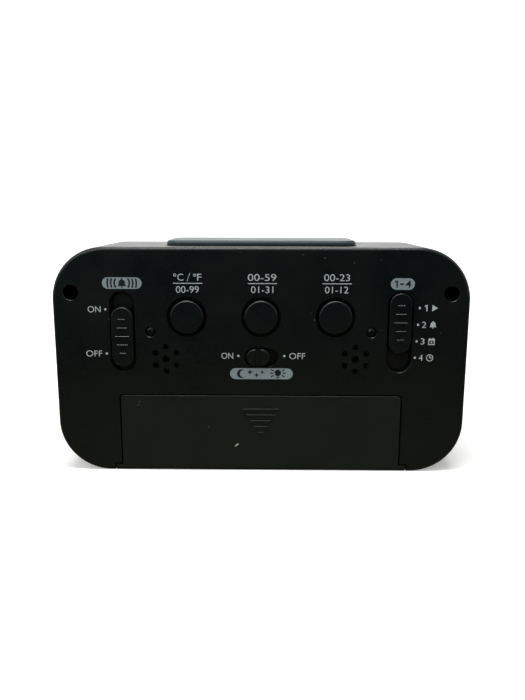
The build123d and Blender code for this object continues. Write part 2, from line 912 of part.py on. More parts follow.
# Night-light slider, which runs sideways and has one upright groove
night_left = night_slot_a - night_slot_width / 2 - night_travel - slider_cover_margin
night_right = night_slot_a + night_slot_width / 2 + slider_cover_margin
with BuildPart() as night_light_slider:
    slot_between(
        flange_top_y,
        rear_y + slider_proud,
        night_knob_width,
        night_knob_height,
        level,
        (night_rest_a, night_slot_z),
    )
    fillet(night_light_slider.faces().sort_by(Axis.Y)[-1].outer_wire().edges(), slider_edge)
    box_between(
        flange_base_y,
        flange_top_y,
        night_right - night_left,
        night_knob_height + 2 * slider_flange_reach,
        ((night_left + night_right) / 2, night_slot_z),
    )
    box_between(
        wiper_y + wiper_thickness,
        flange_base_y,
        slider_post_width,
        slider_post_width,
        (night_rest_a, night_slot_z),
    )
    box_between(
        rear_y + slider_proud - night_groove_depth,
        rear_y + slider_proud,
        night_groove_width,
        night_knob_height,
        (night_rest_a, night_slot_z),
        Mode.SUBTRACT,
    )
write(night_light_slider, "night_light_slider")
make_wiper(
    "night_light_wiper", (night_rest_a, night_slot_z), slider_post_width + wiper_overhang, level
)

# Switch board, clamped between the cover's posts and the carrier
with BuildPart() as switch_board:
    box_between(
        board_front_y, board_rear_y, switch_board_width, switch_board_height, (0, board_middle_z)
    )
    rods_between(
        board_front_y,
        board_rear_y,
        carrier_boss_diameter + 2 * fit_gap,
        switch_screw_places,
        Mode.SUBTRACT,
    )
write(switch_board, "switch_board")

carrier_width = 2 * (switch_screw_a + carrier_overhang)
with BuildPart() as switch_carrier:
    box_between(
        board_front_y - carrier_thickness,
        board_front_y,
        carrier_width,
        carrier_height,
        (0, switch_screw_z),
    )
    for end in (-1, 1):
        rib_z = switch_screw_z + end * (carrier_height - rib_thickness) / 2
        box_between(
            board_front_y - carrier_thickness - carrier_rib_height,
            board_front_y - carrier_thickness,
            carrier_width,
            rib_thickness,
            (0, rib_z),
        )
    rods_between(board_front_y, screw_boss_y, carrier_boss_diameter, switch_screw_places)
    rods_between(
        board_front_y,
        screw_boss_y,
        switch_screw_thread + 2 * thread_gap,
        switch_screw_places,
        Mode.SUBTRACT,
    )
write(switch_carrier, "switch_carrier")


def make_screws_along_depth(name, places, seat_y, head, head_height, thread, length, slotted=True):
    """Pan-head screws driven from behind, with their heads on the depth seat_y."""
    top_y = seat_y + head_height
    with BuildPart() as screws:
        rods_between(seat_y, top_y - head_crown, head, places)
        with BuildSketch(rear_view(top_y - head_crown)):
            with Locations(*places):
                Circle(head / 2)
        extrude(amount=head_crown, taper=head_taper)
        rods_between(seat_y - length, seat_y, thread, places)
        for turned in (False, True) if slotted else ():
            size = (driver_slot_width, head * driver_slot_share)
            with BuildSketch(rear_view(top_y - driver_slot_depth)):
                with Locations(*places):
                    Rectangle(*(reversed(size) if turned else size))
            extrude(amount=driver_slot_depth, mode=Mode.SUBTRACT)
    write(screws, name)


make_screws_along_depth(
    "case_screws",
    case_screw_places,
    rear_y - case_screw_bore_depth,
    case_screw_head,
    case_screw_head_height,
    case_screw_thread,
    case_screw_length,
)
make_screws_along_depth(
    "switch_screws",
    switch_screw_places,
    rear_y - switch_screw_sink - switch_screw_head_height,
    switch_screw_head,
    switch_screw_head_height,
    switch_screw_thread,
    switch_screw_length,
)
make_screws_along_depth(
    "display_screws",
    ear_places,
    main_rear_y,
    small_screw_head,
    small_screw_head_height,
    small_screw_thread,
    small_screw_length,
    slotted=False,
)

# Buzzer with its foam gasket, and the bead that feels the room's temperature
buzzer_place = (sound_hole_a, sound_hole_z)
with BuildPart() as buzzer:
    rods_between(buzzer_base_y, buzzer_base_y + buzzer_height, buzzer_diameter, [buzzer_place])
    rods_between(
        buzzer_base_y + buzzer_height / 2,
        buzzer_base_y + buzzer_height,
        sound_centre_hole_diameter,
        [buzzer_place],
        Mode.SUBTRACT,
    )
    pin_places = [(sound_hole_a, sound_hole_z + end * buzzer_pin_spacing / 2) for end in (-1, 1)]
    rods_between(board_rear_y, buzzer_base_y, buzzer_pin, pin_places)
write(buzzer, "buzzer")

gasket_front_y = seam_y - buzzer_gasket_thickness
with BuildPart() as buzzer_gasket:
    rods_between(gasket_front_y, seam_y, buzzer_diameter, [buzzer_place])
    rods_between(
        gasket_front_y, seam_y, buzzer_diameter - 2 * buzzer_rim, [buzzer_place], Mode.SUBTRACT
    )
write(buzzer_gasket, "buzzer_gasket")

sensor_y = seam_y - sensor_drop - sensor_bead / 2
with BuildPart() as temperature_sensor:
    leg_places = [(-sound_hole_a + end * sensor_leg_spacing / 2, sound_hole_z) for end in (-1, 1)]
    rods_between(board_rear_y, sensor_y, sensor_leg, leg_places)
    bead_front_y = sensor_y - sensor_bead / 2
    rods_between(
        bead_front_y, bead_front_y + sensor_bead, sensor_bead, [(-sound_hole_a, sound_hole_z)]
    )
    chamfer(temperature_sensor.faces().sort_by(Axis.Y)[-1].edges(), sensor_bevel)
write(temperature_sensor, "temperature_sensor")


def make_cell(name, flat_a, row_z, towards):
    """A cylindrical cell whose flat end is at flat_a, with its nub towards that side of a."""
    can_length = cell_length - cell_nub_length
    with BuildPart() as cell:
        flat_end = Plane(
            origin=(-flat_a, cell_y, row_z), x_dir=(0, 1, 0), z_dir=(-towards, 0, 0)
        )
        with BuildSketch(flat_end):
            Circle(cell_diameter / 2)
        extrude(amount=can_length)
        chamfer(cell.edges().filter_by(GeomType.CIRCLE), cell_rim_bevel)
        with BuildSketch(flat_end.offset(can_length)):
            Circle(cell_nub_diameter / 2)
        extrude(amount=cell_nub_length)
    write(cell, name)


first_flat = bay_end - contact_thickness - contact_spring_length
make_cell("battery_cell_1", -first_flat, low_row_z, 1)
make_cell("battery_cell_2", -first_flat + cell_length, low_row_z, 1)
make_cell("battery_cell_3", first_flat, high_row_z, -1)
make_cell("battery_cell_4", first_flat - cell_length, high_row_z, -1)


def contact_plate(side, low_z, high_z):
    """The flat of a battery contact against the end wall of the bay on that side of a."""
    with BuildSketch(rear_view(tub_floor_y)) as profile:
        with Locations((side * (bay_end - contact_thickness / 2), (low_z + high_z) / 2)):
            Rectangle(contact_thickness, high_z - low_z)
    extrude(profile.sketch, amount=cell_y + contact_width / 2 - tub_floor_y)


def contact_tail(side, row_z):
    """The solder tail that goes through the floor of the bay."""
    box_between(
        tub_front_y - tail_length,
        tub_floor_y,
        contact_thickness,
        tail_width,
        (side * (bay_end - contact_thickness / 2), row_z),
    )


def contact_bump(side, row_z):
    """The round bump that meets a cell's nub."""
    face = Plane(
        origin=(-side * (bay_end - contact_thickness), cell_y, row_z),
        x_dir=(0, 1, 0),
        z_dir=(side, 0, 0),
    )
    with BuildSketch(face) as profile:
        Circle(contact_bump_diameter / 2)
    extrude(profile.sketch, amount=contact_bump_reach, taper=contact_bump_taper)


def contact_spring(side, row_z):
    """The coned spring that pushes on a cell's flat end."""
    turn_height = contact_spring_length - contact_wire
    foot = Plane(
        origin=(-side * (bay_end - contact_thickness - contact_wire / 2), cell_y, row_z),
        x_dir=(0, 1, 0),
        z_dir=(side, 0, 0),
    )
    coil = foot * Helix(
        pitch=turn_height / contact_spring_turns,
        height=turn_height,
        radius=contact_spring_radius,
        cone_angle=-contact_spring_cone,
    )
    with BuildSketch(Plane(origin=coil @ 0, z_dir=coil % 0)) as section:
        RegularPolygon(contact_wire / 2, side_count=contact_wire_sides)
    sweep(sections=section.sketch, path=coil, is_frenet=True)


with BuildPart() as negative_contact:
    contact_plate(-1, low_row_z - contact_width / 2, low_row_z + contact_width / 2)
    contact_tail(-1, low_row_z)
    contact_spring(-1, low_row_z)
write(negative_contact, "negative_contact")

with BuildPart() as positive_contact:
    contact_plate(-1, high_row_z - contact_width / 2, high_row_z + contact_width / 2)
    contact_tail(-1, high_row_z)
    contact_bump(-1, high_row_z)
write(positive_contact, "positive_contact")

with BuildPart() as bridge_contact:
    contact_plate(1, low_row_z - contact_width / 2, high_row_z + contact_width / 2)
    contact_bump(1, low_row_z)
    contact_spring(1, high_row_z)
write(bridge_contact, "bridge_contact")

# Snooze bar: a hollow cap with a flange under the case's top, spring pins and a centre stem
with BuildPart() as snooze_bar:
    with BuildSketch(Plane.XY.offset(bar_flange_base)):
        with Locations((0, bar_y)):
            RectangleRounded(bar_length, bar_depth, bar_corner_radius)
    extrude(amount=bar_top_z - bar_flange_base)
    fillet(snooze_bar.faces().sort_by(Axis.Z)[-1].outer_wire().edges(), bar_edge_radius)
    with BuildSketch(Plane.XY.offset(bar_flange_base)):
        with Locations((0, bar_y)):
            RectangleRounded(
                bar_length + 2 * bar_flange_reach,
                bar_depth + 2 * bar_flange_reach,
                bar_corner_radius + bar_flange_reach,
            )
    extrude(amount=bar_flange_thickness)
    with BuildSketch(Plane.XY.offset(bar_flange_base)):
        with Locations((0, bar_y)):
            RectangleRounded(
                bar_length - 2 * bar_wall, bar_depth - 2 * bar_wall, bar_corner_radius - bar_wall
            )
    extrude(amount=bar_inner_z - bar_flange_base, mode=Mode.SUBTRACT)
    spring_places = [(-spring_spot, bar_y), (spring_spot, bar_y)]
    with BuildSketch(Plane.XY.offset(spring_top_z)):
        with Locations(*spring_places):
            Circle(spring_pad_diameter / 2)
    extrude(amount=bar_inner_z - spring_top_z)
    with BuildSketch(Plane.XY.offset(spring_top_z - spring_pin_length)):
        with Locations(*spring_places):
            Circle(spring_pin_diameter / 2)
    extrude(amount=spring_pin_length)
    with BuildSketch(Plane.XY.offset(snooze_contact_z + snooze_contact_thickness)):
        with Locations((0, bar_y)):
            Rectangle(bar_stem_length, bar_stem_depth)
    extrude(amount=bar_inner_z - snooze_contact_z - snooze_contact_thickness)
write(snooze_bar, "snooze_bar")

with BuildPart() as snooze_contact:
    with BuildSketch(Plane.XY.offset(snooze_contact_z)):
        with Locations((0, bar_y)):
            Rectangle(snooze_contact_length, bar_stem_depth)
    extrude(amount=snooze_contact_thickness)
write(snooze_contact, "snooze_contact")


def make_snooze_spring(name, spring_x):
    """An open coil between the snooze board and the bar."""
    rise = spring_length - spring_wire
    with BuildPart() as spring:
        foot = Plane.XY.offset(spring_base_z + spring_wire / 2)
        foot = foot.shift_origin((spring_x, bar_y, spring_base_z + spring_wire / 2))
        coil = foot * Helix(pitch=rise / spring_turns, height=rise, radius=spring_radius)
        with BuildSketch(Plane(origin=coil @ 0, z_dir=coil % 0)) as section:
            RegularPolygon(spring_wire / 2, side_count=spring_wire_sides)
        sweep(sections=section.sketch, path=coil, is_frenet=True)
    write(spring, name)


make_snooze_spring("snooze_spring_left", -spring_spot)
make_snooze_spring("snooze_spring_right", spring_spot)

with BuildPart() as snooze_board:
    snooze_board_z = spring_base_z - board_thickness
    with BuildSketch(Plane.XY.offset(snooze_board_z)):
        with Locations((0, bar_y)):
            Rectangle(snooze_board_length, snooze_board_depth)
        with Locations((-snooze_post_a, bar_y), (snooze_post_a, bar_y)):
            Circle(small_screw_thread / 2 + fit_gap, mode=Mode.SUBTRACT)
    extrude(amount=board_thickness)
write(snooze_board, "snooze_board")

with BuildPart() as snooze_board_screws:
    head_z = snooze_board_z - small_screw_head_height
    for screw_x in (-snooze_post_a, snooze_post_a):
        with BuildSketch(Plane.XY.offset(head_z)):
            with Locations((screw_x, bar_y)):
                Circle(small_screw_head / 2)
        extrude(amount=small_screw_head_height)
        with BuildSketch(Plane.XY.offset(snooze_board_z)):
            with Locations((screw_x, bar_y)):
                Circle(small_screw_thread / 2)
        extrude(amount=small_screw_length)
write(snooze_board_screws, "snooze_board_screws")

# Display stack from the front: lens, tape, gasket, glass, diffuser, light guide, reflector
with BuildPart() as display_lens:
    round_box_between(
        front_y + lens_sink,
        front_y + lens_sink + lens_thickness,
        lens_width,
        lens_height,
        lens_corner_radius,
        (0, middle_z),
    )
write(display_lens, "display_lens")

with BuildPart() as lens_tape:
    tape_y = lens_seat_y - tape_thickness
    round_box_between(
        tape_y, lens_seat_y, lens_width, lens_height, lens_corner_radius, (0, middle_z)
    )
    round_box_between(
        tape_y,
        lens_seat_y,
        window_width + 2 * gasket_border,
        window_height + 2 * gasket_border,
        window_corner_radius,
        (0, middle_z),
        Mode.SUBTRACT,
    )
write(lens_tape, "lens_tape")

with BuildPart() as lcd_gasket:
    box_between(shelf_y, lcd_front_y, lcd_width, lcd_height, (0, middle_z))
    box_between(
        shelf_y,
        lcd_front_y,
        lcd_width - 2 * gasket_border,
        lcd_height - 2 * gasket_border,
        (0, middle_z),
        Mode.SUBTRACT,
    )
write(lcd_gasket, "lcd_gasket")

with BuildPart() as lcd_panel:
    box_between(lcd_front_y, lcd_back_y, lcd_width, lcd_height, (0, middle_z))
write(lcd_panel, "lcd_panel")

with BuildPart() as diffuser_sheet:
    box_between(lcd_back_y, guide_front_y, guide_width, guide_height, (0, middle_z))
write(diffuser_sheet, "diffuser_sheet")

with BuildPart() as light_guide:
    box_between(guide_front_y, guide_back_y, guide_width, guide_height, (0, middle_z))
write(light_guide, "light_guide")

with BuildPart() as reflector_sheet:
    box_between(guide_back_y, main_front_y, guide_width, guide_height, (0, middle_z))
write(reflector_sheet, "reflector_sheet")

# Holder that frames the glass and light guide, with four screw ears
led_places = [
    (side * (guide_width / 2 + touch_gap + led_width / 2), middle_z) for side in (-1, 1)
]
strip_places = [(0, middle_z + end * strip_offset) for end in (-1, 1)]


def holder_outline():
    """The frame's outline with its four round ears."""
    with Locations((0, middle_z)):
        RectangleRounded(holder_width, holder_height, holder_corner_radius)
    with Locations(*ear_places):
        Circle(ear_radius)
    for ear_z in (ear_low_z, ear_high_z):
        with Locations((0, ear_z)):
            Rectangle(2 * ear_a, 2 * ear_radius)


with BuildPart() as lcd_holder:
    round_box_between(
        lcd_front_y,
        main_front_y,
        holder_width,
        holder_height,
        holder_corner_radius,
        (0, middle_z),
    )
    with BuildSketch(rear_view(main_front_y - ear_thickness)):
        holder_outline()
    extrude(amount=ear_thickness)
    box_between(
        lcd_front_y,
        lcd_back_y,
        lcd_width + 2 * fit_gap,
        lcd_height + 2 * fit_gap,
        (0, middle_z),
        Mode.SUBTRACT,
    )
    box_between(
        lcd_back_y,
        main_front_y,
        guide_width + 2 * fit_gap,
        guide_height + 2 * fit_gap,
        (0, middle_z),
        Mode.SUBTRACT,
    )
    for place in strip_places:
        box_between(
            lcd_back_y,
            main_front_y,
            strip_length + 2 * fit_gap,
            strip_height + 2 * fit_gap,
            place,
            Mode.SUBTRACT,
        )
    for place in led_places:
        box_between(
            main_front_y - led_depth - fit_gap,
            main_front_y,
            led_width + 2 * fit_gap,
            led_length + 2 * fit_gap,
            place,
            Mode.SUBTRACT,
        )
    rods_between(
        main_front_y - ear_thickness,
        main_front_y,
        small_screw_thread + 2 * fit_gap,
        ear_places,
        Mode.SUBTRACT,
    )
write(lcd_holder, "lcd_holder")

for strip_name, place in zip(("lower_contact_strip", "upper_contact_strip"), strip_places):
    with BuildPart() as contact_strip:
        box_between(lcd_back_y, main_front_y, strip_length, strip_height, place)
    write(contact_strip, strip_name)

for led_name, place in zip(("backlight_led_left", "backlight_led_right"), led_places):
    with BuildPart() as backlight_led:
        box_between(main_front_y - led_depth, main_front_y, led_width, led_length, place)
    write(backlight_led, led_name)

# Main board with its chip under a drop of resin, its crystal and its capacitor
with BuildPart() as main_board:
    with BuildSketch(rear_view(main_front_y)):
        holder_outline()
        with Locations(*ear_places):
            Circle(small_screw_thread / 2 + fit_gap, mode=Mode.SUBTRACT)
    extrude(amount=board_thickness)
write(main_board, "main_board")

with BuildPart() as controller_chip:
    rods_between(main_rear_y, main_rear_y + chip_height, chip_diameter, [(chip_offset, middle_z)])
    chamfer(controller_chip.faces().sort_by(Axis.Y)[-1].edges(), chip_bevel)
write(controller_chip, "controller_chip")

with BuildPart() as timing_crystal:
    crystal_end = Plane(
        origin=(-crystal_offset, main_rear_y + crystal_diameter / 2, middle_z + crystal_rise),
        x_dir=(1, 0, 0),
        z_dir=(0, 0, 1),
    )
    with BuildSketch(crystal_end):
        Circle(crystal_diameter / 2)
    extrude(amount=crystal_length)
write(timing_crystal, "timing_crystal")

with BuildPart() as board_capacitor:
    rods_between(
        main_rear_y,
        main_rear_y + capacitor_height,
        capacitor_diameter,
        [(capacitor_offset, middle_z + capacitor_rise)],
    )
    chamfer(board_capacitor.faces().sort_by(Axis.Y)[-1].edges(), capacitor_bevel)
write(board_capacitor, "board_capacitor")

# Ribbon between the two boards, bent twice
with BuildPart() as ribbon_cable:
    middle_y = (board_front_y + main_rear_y) / 2
    ribbon_radius = ribbon_radius_share * (board_front_y - main_rear_y)
    ribbon_high_z = switch_board_bottom + ribbon_rise
    ribbon_low_z = ribbon_high_z - ribbon_fall
    with BuildLine(Plane.YZ) as ribbon_path:
        FilletPolyline(
            (board_front_y, ribbon_high_z),
            (middle_y + ribbon_radius, ribbon_high_z),
            (middle_y - ribbon_radius, ribbon_low_z),
            (main_rear_y, ribbon_low_z),
            radius=ribbon_radius,
        )
    with BuildSketch(rear_view(board_front_y)):
        with Locations((0, ribbon_high_z)):
            Rectangle(ribbon_width, ribbon_thickness)
    sweep(path=ribbon_path.line)
write(ribbon_cable, "ribbon_cable")


def make_lead(name, starts):
    """Insulated wires, one from each start point through its own bends to the main board."""
    with BuildPart() as lead:
        for points in starts:
            with BuildLine() as route:
                FilletPolyline(*points, radius=lead_radius)
            with BuildSketch(Plane(origin=route.line @ 0, z_dir=route.line % 0)) as section:
                RegularPolygon(lead_diameter / 2, side_count=lead_sides)
            sweep(sections=section.sketch, path=route.line)
    write(lead, name)


tail_x = bay_end - contact_thickness / 2
tail_end_y = tub_front_y - tail_length
lead_run = tail_end_y - main_rear_y
lead_radius = lead_radius_share * lead_run
for lead_name, row_z in (("battery_lead_black", low_row_z), ("battery_lead_red", high_row_z)):
    make_lead(
        lead_name,
        [
            [
                (tail_x, tail_end_y, row_z),
                (tail_x, tail_end_y - lead_run * lead_end_share, row_z),
                (tail_x + lead_spread, main_rear_y + lead_run * lead_end_share, row_z + lead_lift),
                (tail_x + lead_spread, main_rear_y, row_z + lead_lift),
            ]
        ],
    )

snooze_lead_y = bar_y - lead_radius
snooze_lead_z = snooze_board_z - snooze_lead_fall
snooze_lead_points = [
    [
        (side * snooze_lead_spacing / 2, snooze_lead_y, snooze_board_z),
        (side * snooze_lead_spacing / 2, snooze_lead_y, snooze_lead_z),
        (side * snooze_lead_spacing / 2, main_rear_y, snooze_lead_z),
    ]
    for side in (-1, 1)
]
make_lead("snooze_leads", snooze_lead_points)
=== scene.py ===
# %% [markdown]
# # A bedside alarm clock, seen from behind
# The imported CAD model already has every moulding, board, spring and screw in place. This lesson adds
# what a camera sees on them: the way satin ABS takes light, the printed legends, the display's digits,
# the marks in the battery bay, and the studio that the photograph was taken in.

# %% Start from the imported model
import json
import math
import bpy
from mathutils import Euler, Matrix, Vector


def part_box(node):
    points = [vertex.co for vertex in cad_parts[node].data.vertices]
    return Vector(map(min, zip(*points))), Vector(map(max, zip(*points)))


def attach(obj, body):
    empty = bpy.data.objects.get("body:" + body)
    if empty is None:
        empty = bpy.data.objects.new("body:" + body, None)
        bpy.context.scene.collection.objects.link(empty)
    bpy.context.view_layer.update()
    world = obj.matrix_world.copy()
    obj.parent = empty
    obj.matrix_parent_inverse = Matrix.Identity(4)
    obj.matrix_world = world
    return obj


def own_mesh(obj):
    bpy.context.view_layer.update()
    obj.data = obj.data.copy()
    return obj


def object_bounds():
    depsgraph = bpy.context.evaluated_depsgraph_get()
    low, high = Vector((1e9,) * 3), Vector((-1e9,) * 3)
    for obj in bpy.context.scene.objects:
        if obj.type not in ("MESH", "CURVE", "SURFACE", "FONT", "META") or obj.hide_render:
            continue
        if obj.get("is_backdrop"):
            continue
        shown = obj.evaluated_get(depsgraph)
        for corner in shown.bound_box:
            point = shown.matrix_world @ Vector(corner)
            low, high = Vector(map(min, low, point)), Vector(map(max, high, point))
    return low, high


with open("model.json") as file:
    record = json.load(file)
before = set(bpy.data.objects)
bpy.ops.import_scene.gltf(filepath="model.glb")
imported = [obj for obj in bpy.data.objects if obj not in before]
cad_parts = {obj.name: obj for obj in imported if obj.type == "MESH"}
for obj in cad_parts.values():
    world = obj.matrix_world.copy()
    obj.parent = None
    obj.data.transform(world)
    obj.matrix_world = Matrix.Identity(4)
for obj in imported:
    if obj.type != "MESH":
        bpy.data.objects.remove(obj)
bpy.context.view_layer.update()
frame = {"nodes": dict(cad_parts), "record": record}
bpy.ops.object.select_all(action="DESELECT")
MM = 0.001

# %% [markdown]
# ## The camera
# The clock was photographed from a little above its rear face, from about 24 cm away. The numbers come
# from fitting a pinhole camera to the outline and the corners of the battery door, so the lens is
# written as millimetres on a 36 mm wide sensor and nothing is shifted or cropped.

# %% Camera
LENS_MM = 46.51
SENSOR_MM = 36.0
NEAREST_MM = 10.0
CAMERA_PLACE = (-3.06 * MM, 264.26 * MM, 95.76 * MM)
CAMERA_TILT = (math.radians(78.43), 0.0, math.radians(180.567))
CAMERA_ROLL = math.radians(0.141)
camera_data = bpy.data.cameras.new("photo_camera")
camera_data.sensor_fit = "HORIZONTAL"
camera_data.sensor_width = SENSOR_MM
camera_data.lens = LENS_MM
camera_data.clip_start = NEAREST_MM * MM
camera = bpy.data.objects.new("photo_camera", camera_data)
bpy.context.scene.collection.objects.link(camera)
camera.location = CAMERA_PLACE
turn = Euler(CAMERA_TILT).to_matrix() @ Matrix.Rotation(CAMERA_ROLL, 3, "Z")
camera.rotation_euler = turn.to_euler()
bpy.context.scene.camera = camera
print("camera at", [round(v / MM) for v in camera.location], "mm")

# %% [markdown]
# ## Helpers for shaders
# Colours are given as sRGB hex codes, while Blender's sockets want linear light, so one function
# turns them. Every node is then added by one other function, which takes its settings, its fixed values
# and its links. All finishes begin alike, with an empty tree that reads the place on the object, and
# end alike: one pattern mixes two near colours, another goes between two roughnesses, and a fine relief
# lies under the surface shader.

# %% Colour and node helpers
MIX_A, MIX_B, MIX_OUT = 6, 7, 2  # the sockets of a Mix node's two colours, and of its result


def linear(code):
    """An sRGB hex colour as the linear values that a socket wants."""
    parts = [int(code[i : i + 2], 16) / 255 for i in (0, 2, 4)]
    return (*[p / 12.92 if p <= 0.04045 else ((p + 0.055) / 1.055) ** 2.4 for p in parts], 1.0)


def add_node(tree, kind, values=None, links=None, **settings):
    """Adds a node, sets its properties and fixed inputs, and links the rest of its inputs."""
    node = tree.nodes.new(kind)
    for name, value in settings.items():
        setattr(node, name, value)
    for socket, value in (values or {}).items():
        node.inputs[socket].default_value = value
    for socket, source in (links or {}).items():
        tree.links.new(source, node.inputs[socket])
    return node


def new_finish(name):
    """A new material, its empty node tree, and the place on the object that patterns read."""
    material = bpy.data.materials.new(name)
    material.use_nodes = True
    tree = material.node_tree
    tree.nodes.clear()
    return material, tree, add_node(tree, "ShaderNodeTexCoord").outputs["Object"]


def end_finish(
    tree, links=None, values=None, colours=None, roughnesses=None, height=None, strength=0.3, depth_mm=0.01
):
    """Adds the surface shader and the output; colours and roughnesses are two each, and a pattern."""
    links = dict(links or {})
    if colours:
        one, other, pattern = colours
        tone = add_node(
            tree,
            "ShaderNodeMix",
            values={MIX_A: linear(one), MIX_B: linear(other)},
            links={0: pattern},
            data_type="RGBA",
        )
        links["Base Color"] = tone.outputs[MIX_OUT]
    if roughnesses:
        smooth, dull, pattern = roughnesses
        rough = add_node(
            tree,
            "ShaderNodeMapRange",
            values={"To Min": smooth, "To Max": dull},
            links={"Value": pattern},
        )
        links["Roughness"] = rough.outputs[0]
    if height is not None:
        bump = add_node(
            tree,
            "ShaderNodeBump",
            values={"Strength": strength, "Distance": depth_mm * MM},
            links={"Height": height},
        )
        links["Normal"] = bump.outputs[0]
    surface = add_node(tree, "ShaderNodeBsdfPrincipled", values=values, links=links)
    add_node(tree, "ShaderNodeOutputMaterial", links={"Surface": surface.outputs[0]})


print("black ABS in linear light", [round(v, 4) for v in linear("0F1314")])

# %% [markdown]
# ## The studio
# The photograph's background is pure white and its light is soft, from above and from all round. The
# world is therefore white for the camera, for reflections and for what is seen through the lens, and
# dimmer for the light that falls on the clock. Three large lamps give the top surfaces and the rear face
# a little shape.

# %% World
AMBIENT = 0.4


def seen_rays(tree):
    """1 for what the camera sees, directly, in a reflection or through the lens, and 0 for light."""
    path = add_node(tree, "ShaderNodeLightPath")
    seen = path.outputs["Is Camera Ray"]
    for kind in ("Is Glossy Ray", "Is Transmission Ray"):
        either = add_node(
            tree, "ShaderNodeMath", links={0: seen, 1: path.outputs[kind]}, operation="MAXIMUM"
        )
        seen = either.outputs[0]
    return seen


world = bpy.data.worlds.new("white_studio")
bpy.context.scene.world = world
world.use_nodes = True
sky = world.node_tree
sky.nodes.clear()
level = add_node(
    sky, "ShaderNodeMapRange", values={"To Min": AMBIENT, "To Max": 1.0}, links={"Value": seen_rays(sky)}
)
background = add_node(
    sky, "ShaderNodeBackground", values={"Color": linear("FFFFFF")}, links={"Strength": level.outputs[0]}
)
add_node(sky, "ShaderNodeOutputWorld", links={"Surface": background.outputs[0]})
bpy.context.scene.view_settings.view_transform = "Standard"
print("white world, ambient light", AMBIENT)

# %% Lamps
LAMPS = (
    # name, place, aim, width and depth in mm, watts
    ("lamp_overhead", (25, 130, 620), (10, 0, 40), 420, 130, 3.9),
    ("lamp_behind_camera", (480, 820, 680), (0, 0, 40), 800, 800, 4.7),
    ("lamp_beyond", (60, -800, 600), (0, 0, 40), 700, 700, 2.0),
)
for name, place, aim, width, depth, watts in LAMPS:
    start = Vector(place) * MM
    bpy.ops.object.light_add(type="AREA", location=start)
    lamp = bpy.context.active_object
    lamp.name = name
    lamp.data.shape = "RECTANGLE"
    lamp.data.size, lamp.data.size_y = width * MM, depth * MM
    lamp.data.energy = watts
    lamp.rotation_euler = (Vector(aim) * MM - start).to_track_quat("-Z", "Y").to_euler()
    lamp.select_set(False)
print(len(LAMPS), "soft lamps")

# %% [markdown]
# The floor is pale paper that keeps the clock's shadow. It also glows for the rays that are seen, faintly
# near the clock, so that the shadow stays, and more further out, until it joins the white background.

# %% Floor
FLOOR_M = 6.0
NEAR_GLOW, FAR_GLOW = 0.3, 0.95
NEAR_M, FAR_M = 0.1, 0.7


def by_distance(tree, place, start, end, low=0.0, high=1.0):
    """Goes from low to high as a place's distance from its origin goes from start to end."""
    far = add_node(tree, "ShaderNodeVectorMath", links={0: place}, operation="LENGTH")
    spread = add_node(
        tree,
        "ShaderNodeMapRange",
        values={"From Min": start, "From Max": end, "To Min": low, "To Max": high},
        links={"Value": far.outputs["Value"]},
    )
    return spread.outputs[0]


floor_paper, tree, place = new_finish("floor_paper")
spread = by_distance(tree, place, NEAR_M, FAR_M, NEAR_GLOW, FAR_GLOW)
level = add_node(tree, "ShaderNodeMath", links={0: seen_rays(tree), 1: spread}, operation="MULTIPLY")
glow = add_node(tree, "ShaderNodeEmission", links={"Strength": level.outputs[0]})
paper = add_node(tree, "ShaderNodeBsdfDiffuse", values={"Color": linear("E6E6E4")})
both = add_node(tree, "ShaderNodeAddShader", links={0: paper.outputs[0], 1: glow.outputs[0]})
add_node(tree, "ShaderNodeOutputMaterial", links={"Surface": both.outputs[0]})
bpy.ops.mesh.primitive_plane_add(size=FLOOR_M)
floor = bpy.context.active_object
floor.name = "floor"
floor.data.materials.append(floor_paper)
floor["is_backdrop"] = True
floor.select_set(False)
print("floor of", FLOOR_M, "m")

# %% [markdown]
# ## Black flags
# A black object in an all-white studio comes out grey, because its upright faces mirror the white
# table. Photographers lay black cards, called flags, where only the reflections see them. One card
# lies round the clock and one stands behind the camera. Cycles can do what a photographer can't: these
# cards show in reflections only, so they take no light away and no view shows them. They are paler and
# warmer close to the clock, as the lower part of the photographed face reflects its table.

# %% Flags
FLAG_M = 3.0
PALE_M, BLACK_M = 0.06, 0.3
black_card, tree, place = new_finish("black_card")
tone = add_node(
    tree,
    "ShaderNodeMix",
    values={MIX_A: linear("6E6845"), MIX_B: linear("050606")},
    links={0: by_distance(tree, place, PALE_M, BLACK_M)},
    data_type="RGBA",
)
felt = add_node(tree, "ShaderNodeBsdfDiffuse", links={"Color": tone.outputs[MIX_OUT]})
add_node(tree, "ShaderNodeOutputMaterial", links={"Surface": felt.outputs[0]})
FLAGS = (
    # name, place in metres, tilt
    ("flag_on_table", (0, 0, 0.2 * MM), 0.0),
    ("flag_behind_camera", (0, 1.5, -0.8), math.radians(90)),
)
for name, place, tilt in FLAGS:
    bpy.ops.mesh.primitive_plane_add(size=FLAG_M, location=place, rotation=(tilt, 0, 0))
    bpy.ops.object.transform_apply(location=True, rotation=True, scale=True)
    card = bpy.context.active_object
    card.name = name
    card.data.materials.append(black_card)
    card.visible_camera = card.visible_diffuse = card.visible_transmission = False
    card.visible_shadow = card.visible_volume_scatter = False
    card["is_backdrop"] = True
    card.select_set(False)
print(len(FLAGS), "flags")

# %% [markdown]
# ## Moulded plastic
# Almost all of the outside is injection-moulded ABS with a fine satin finish that was etched into the
# tool. Close up, such a face is never one flat colour: the etching scatters light, the fill of the
# mould leaves faint clouds a centimetre or two wide, handling polishes some of it, and dust lies on it.
# One function builds that finish from real sizes: the clouds, the etched grain and the dust. A size is
# written as millimetres times MM, and a texture's scale is 1 divided by it.

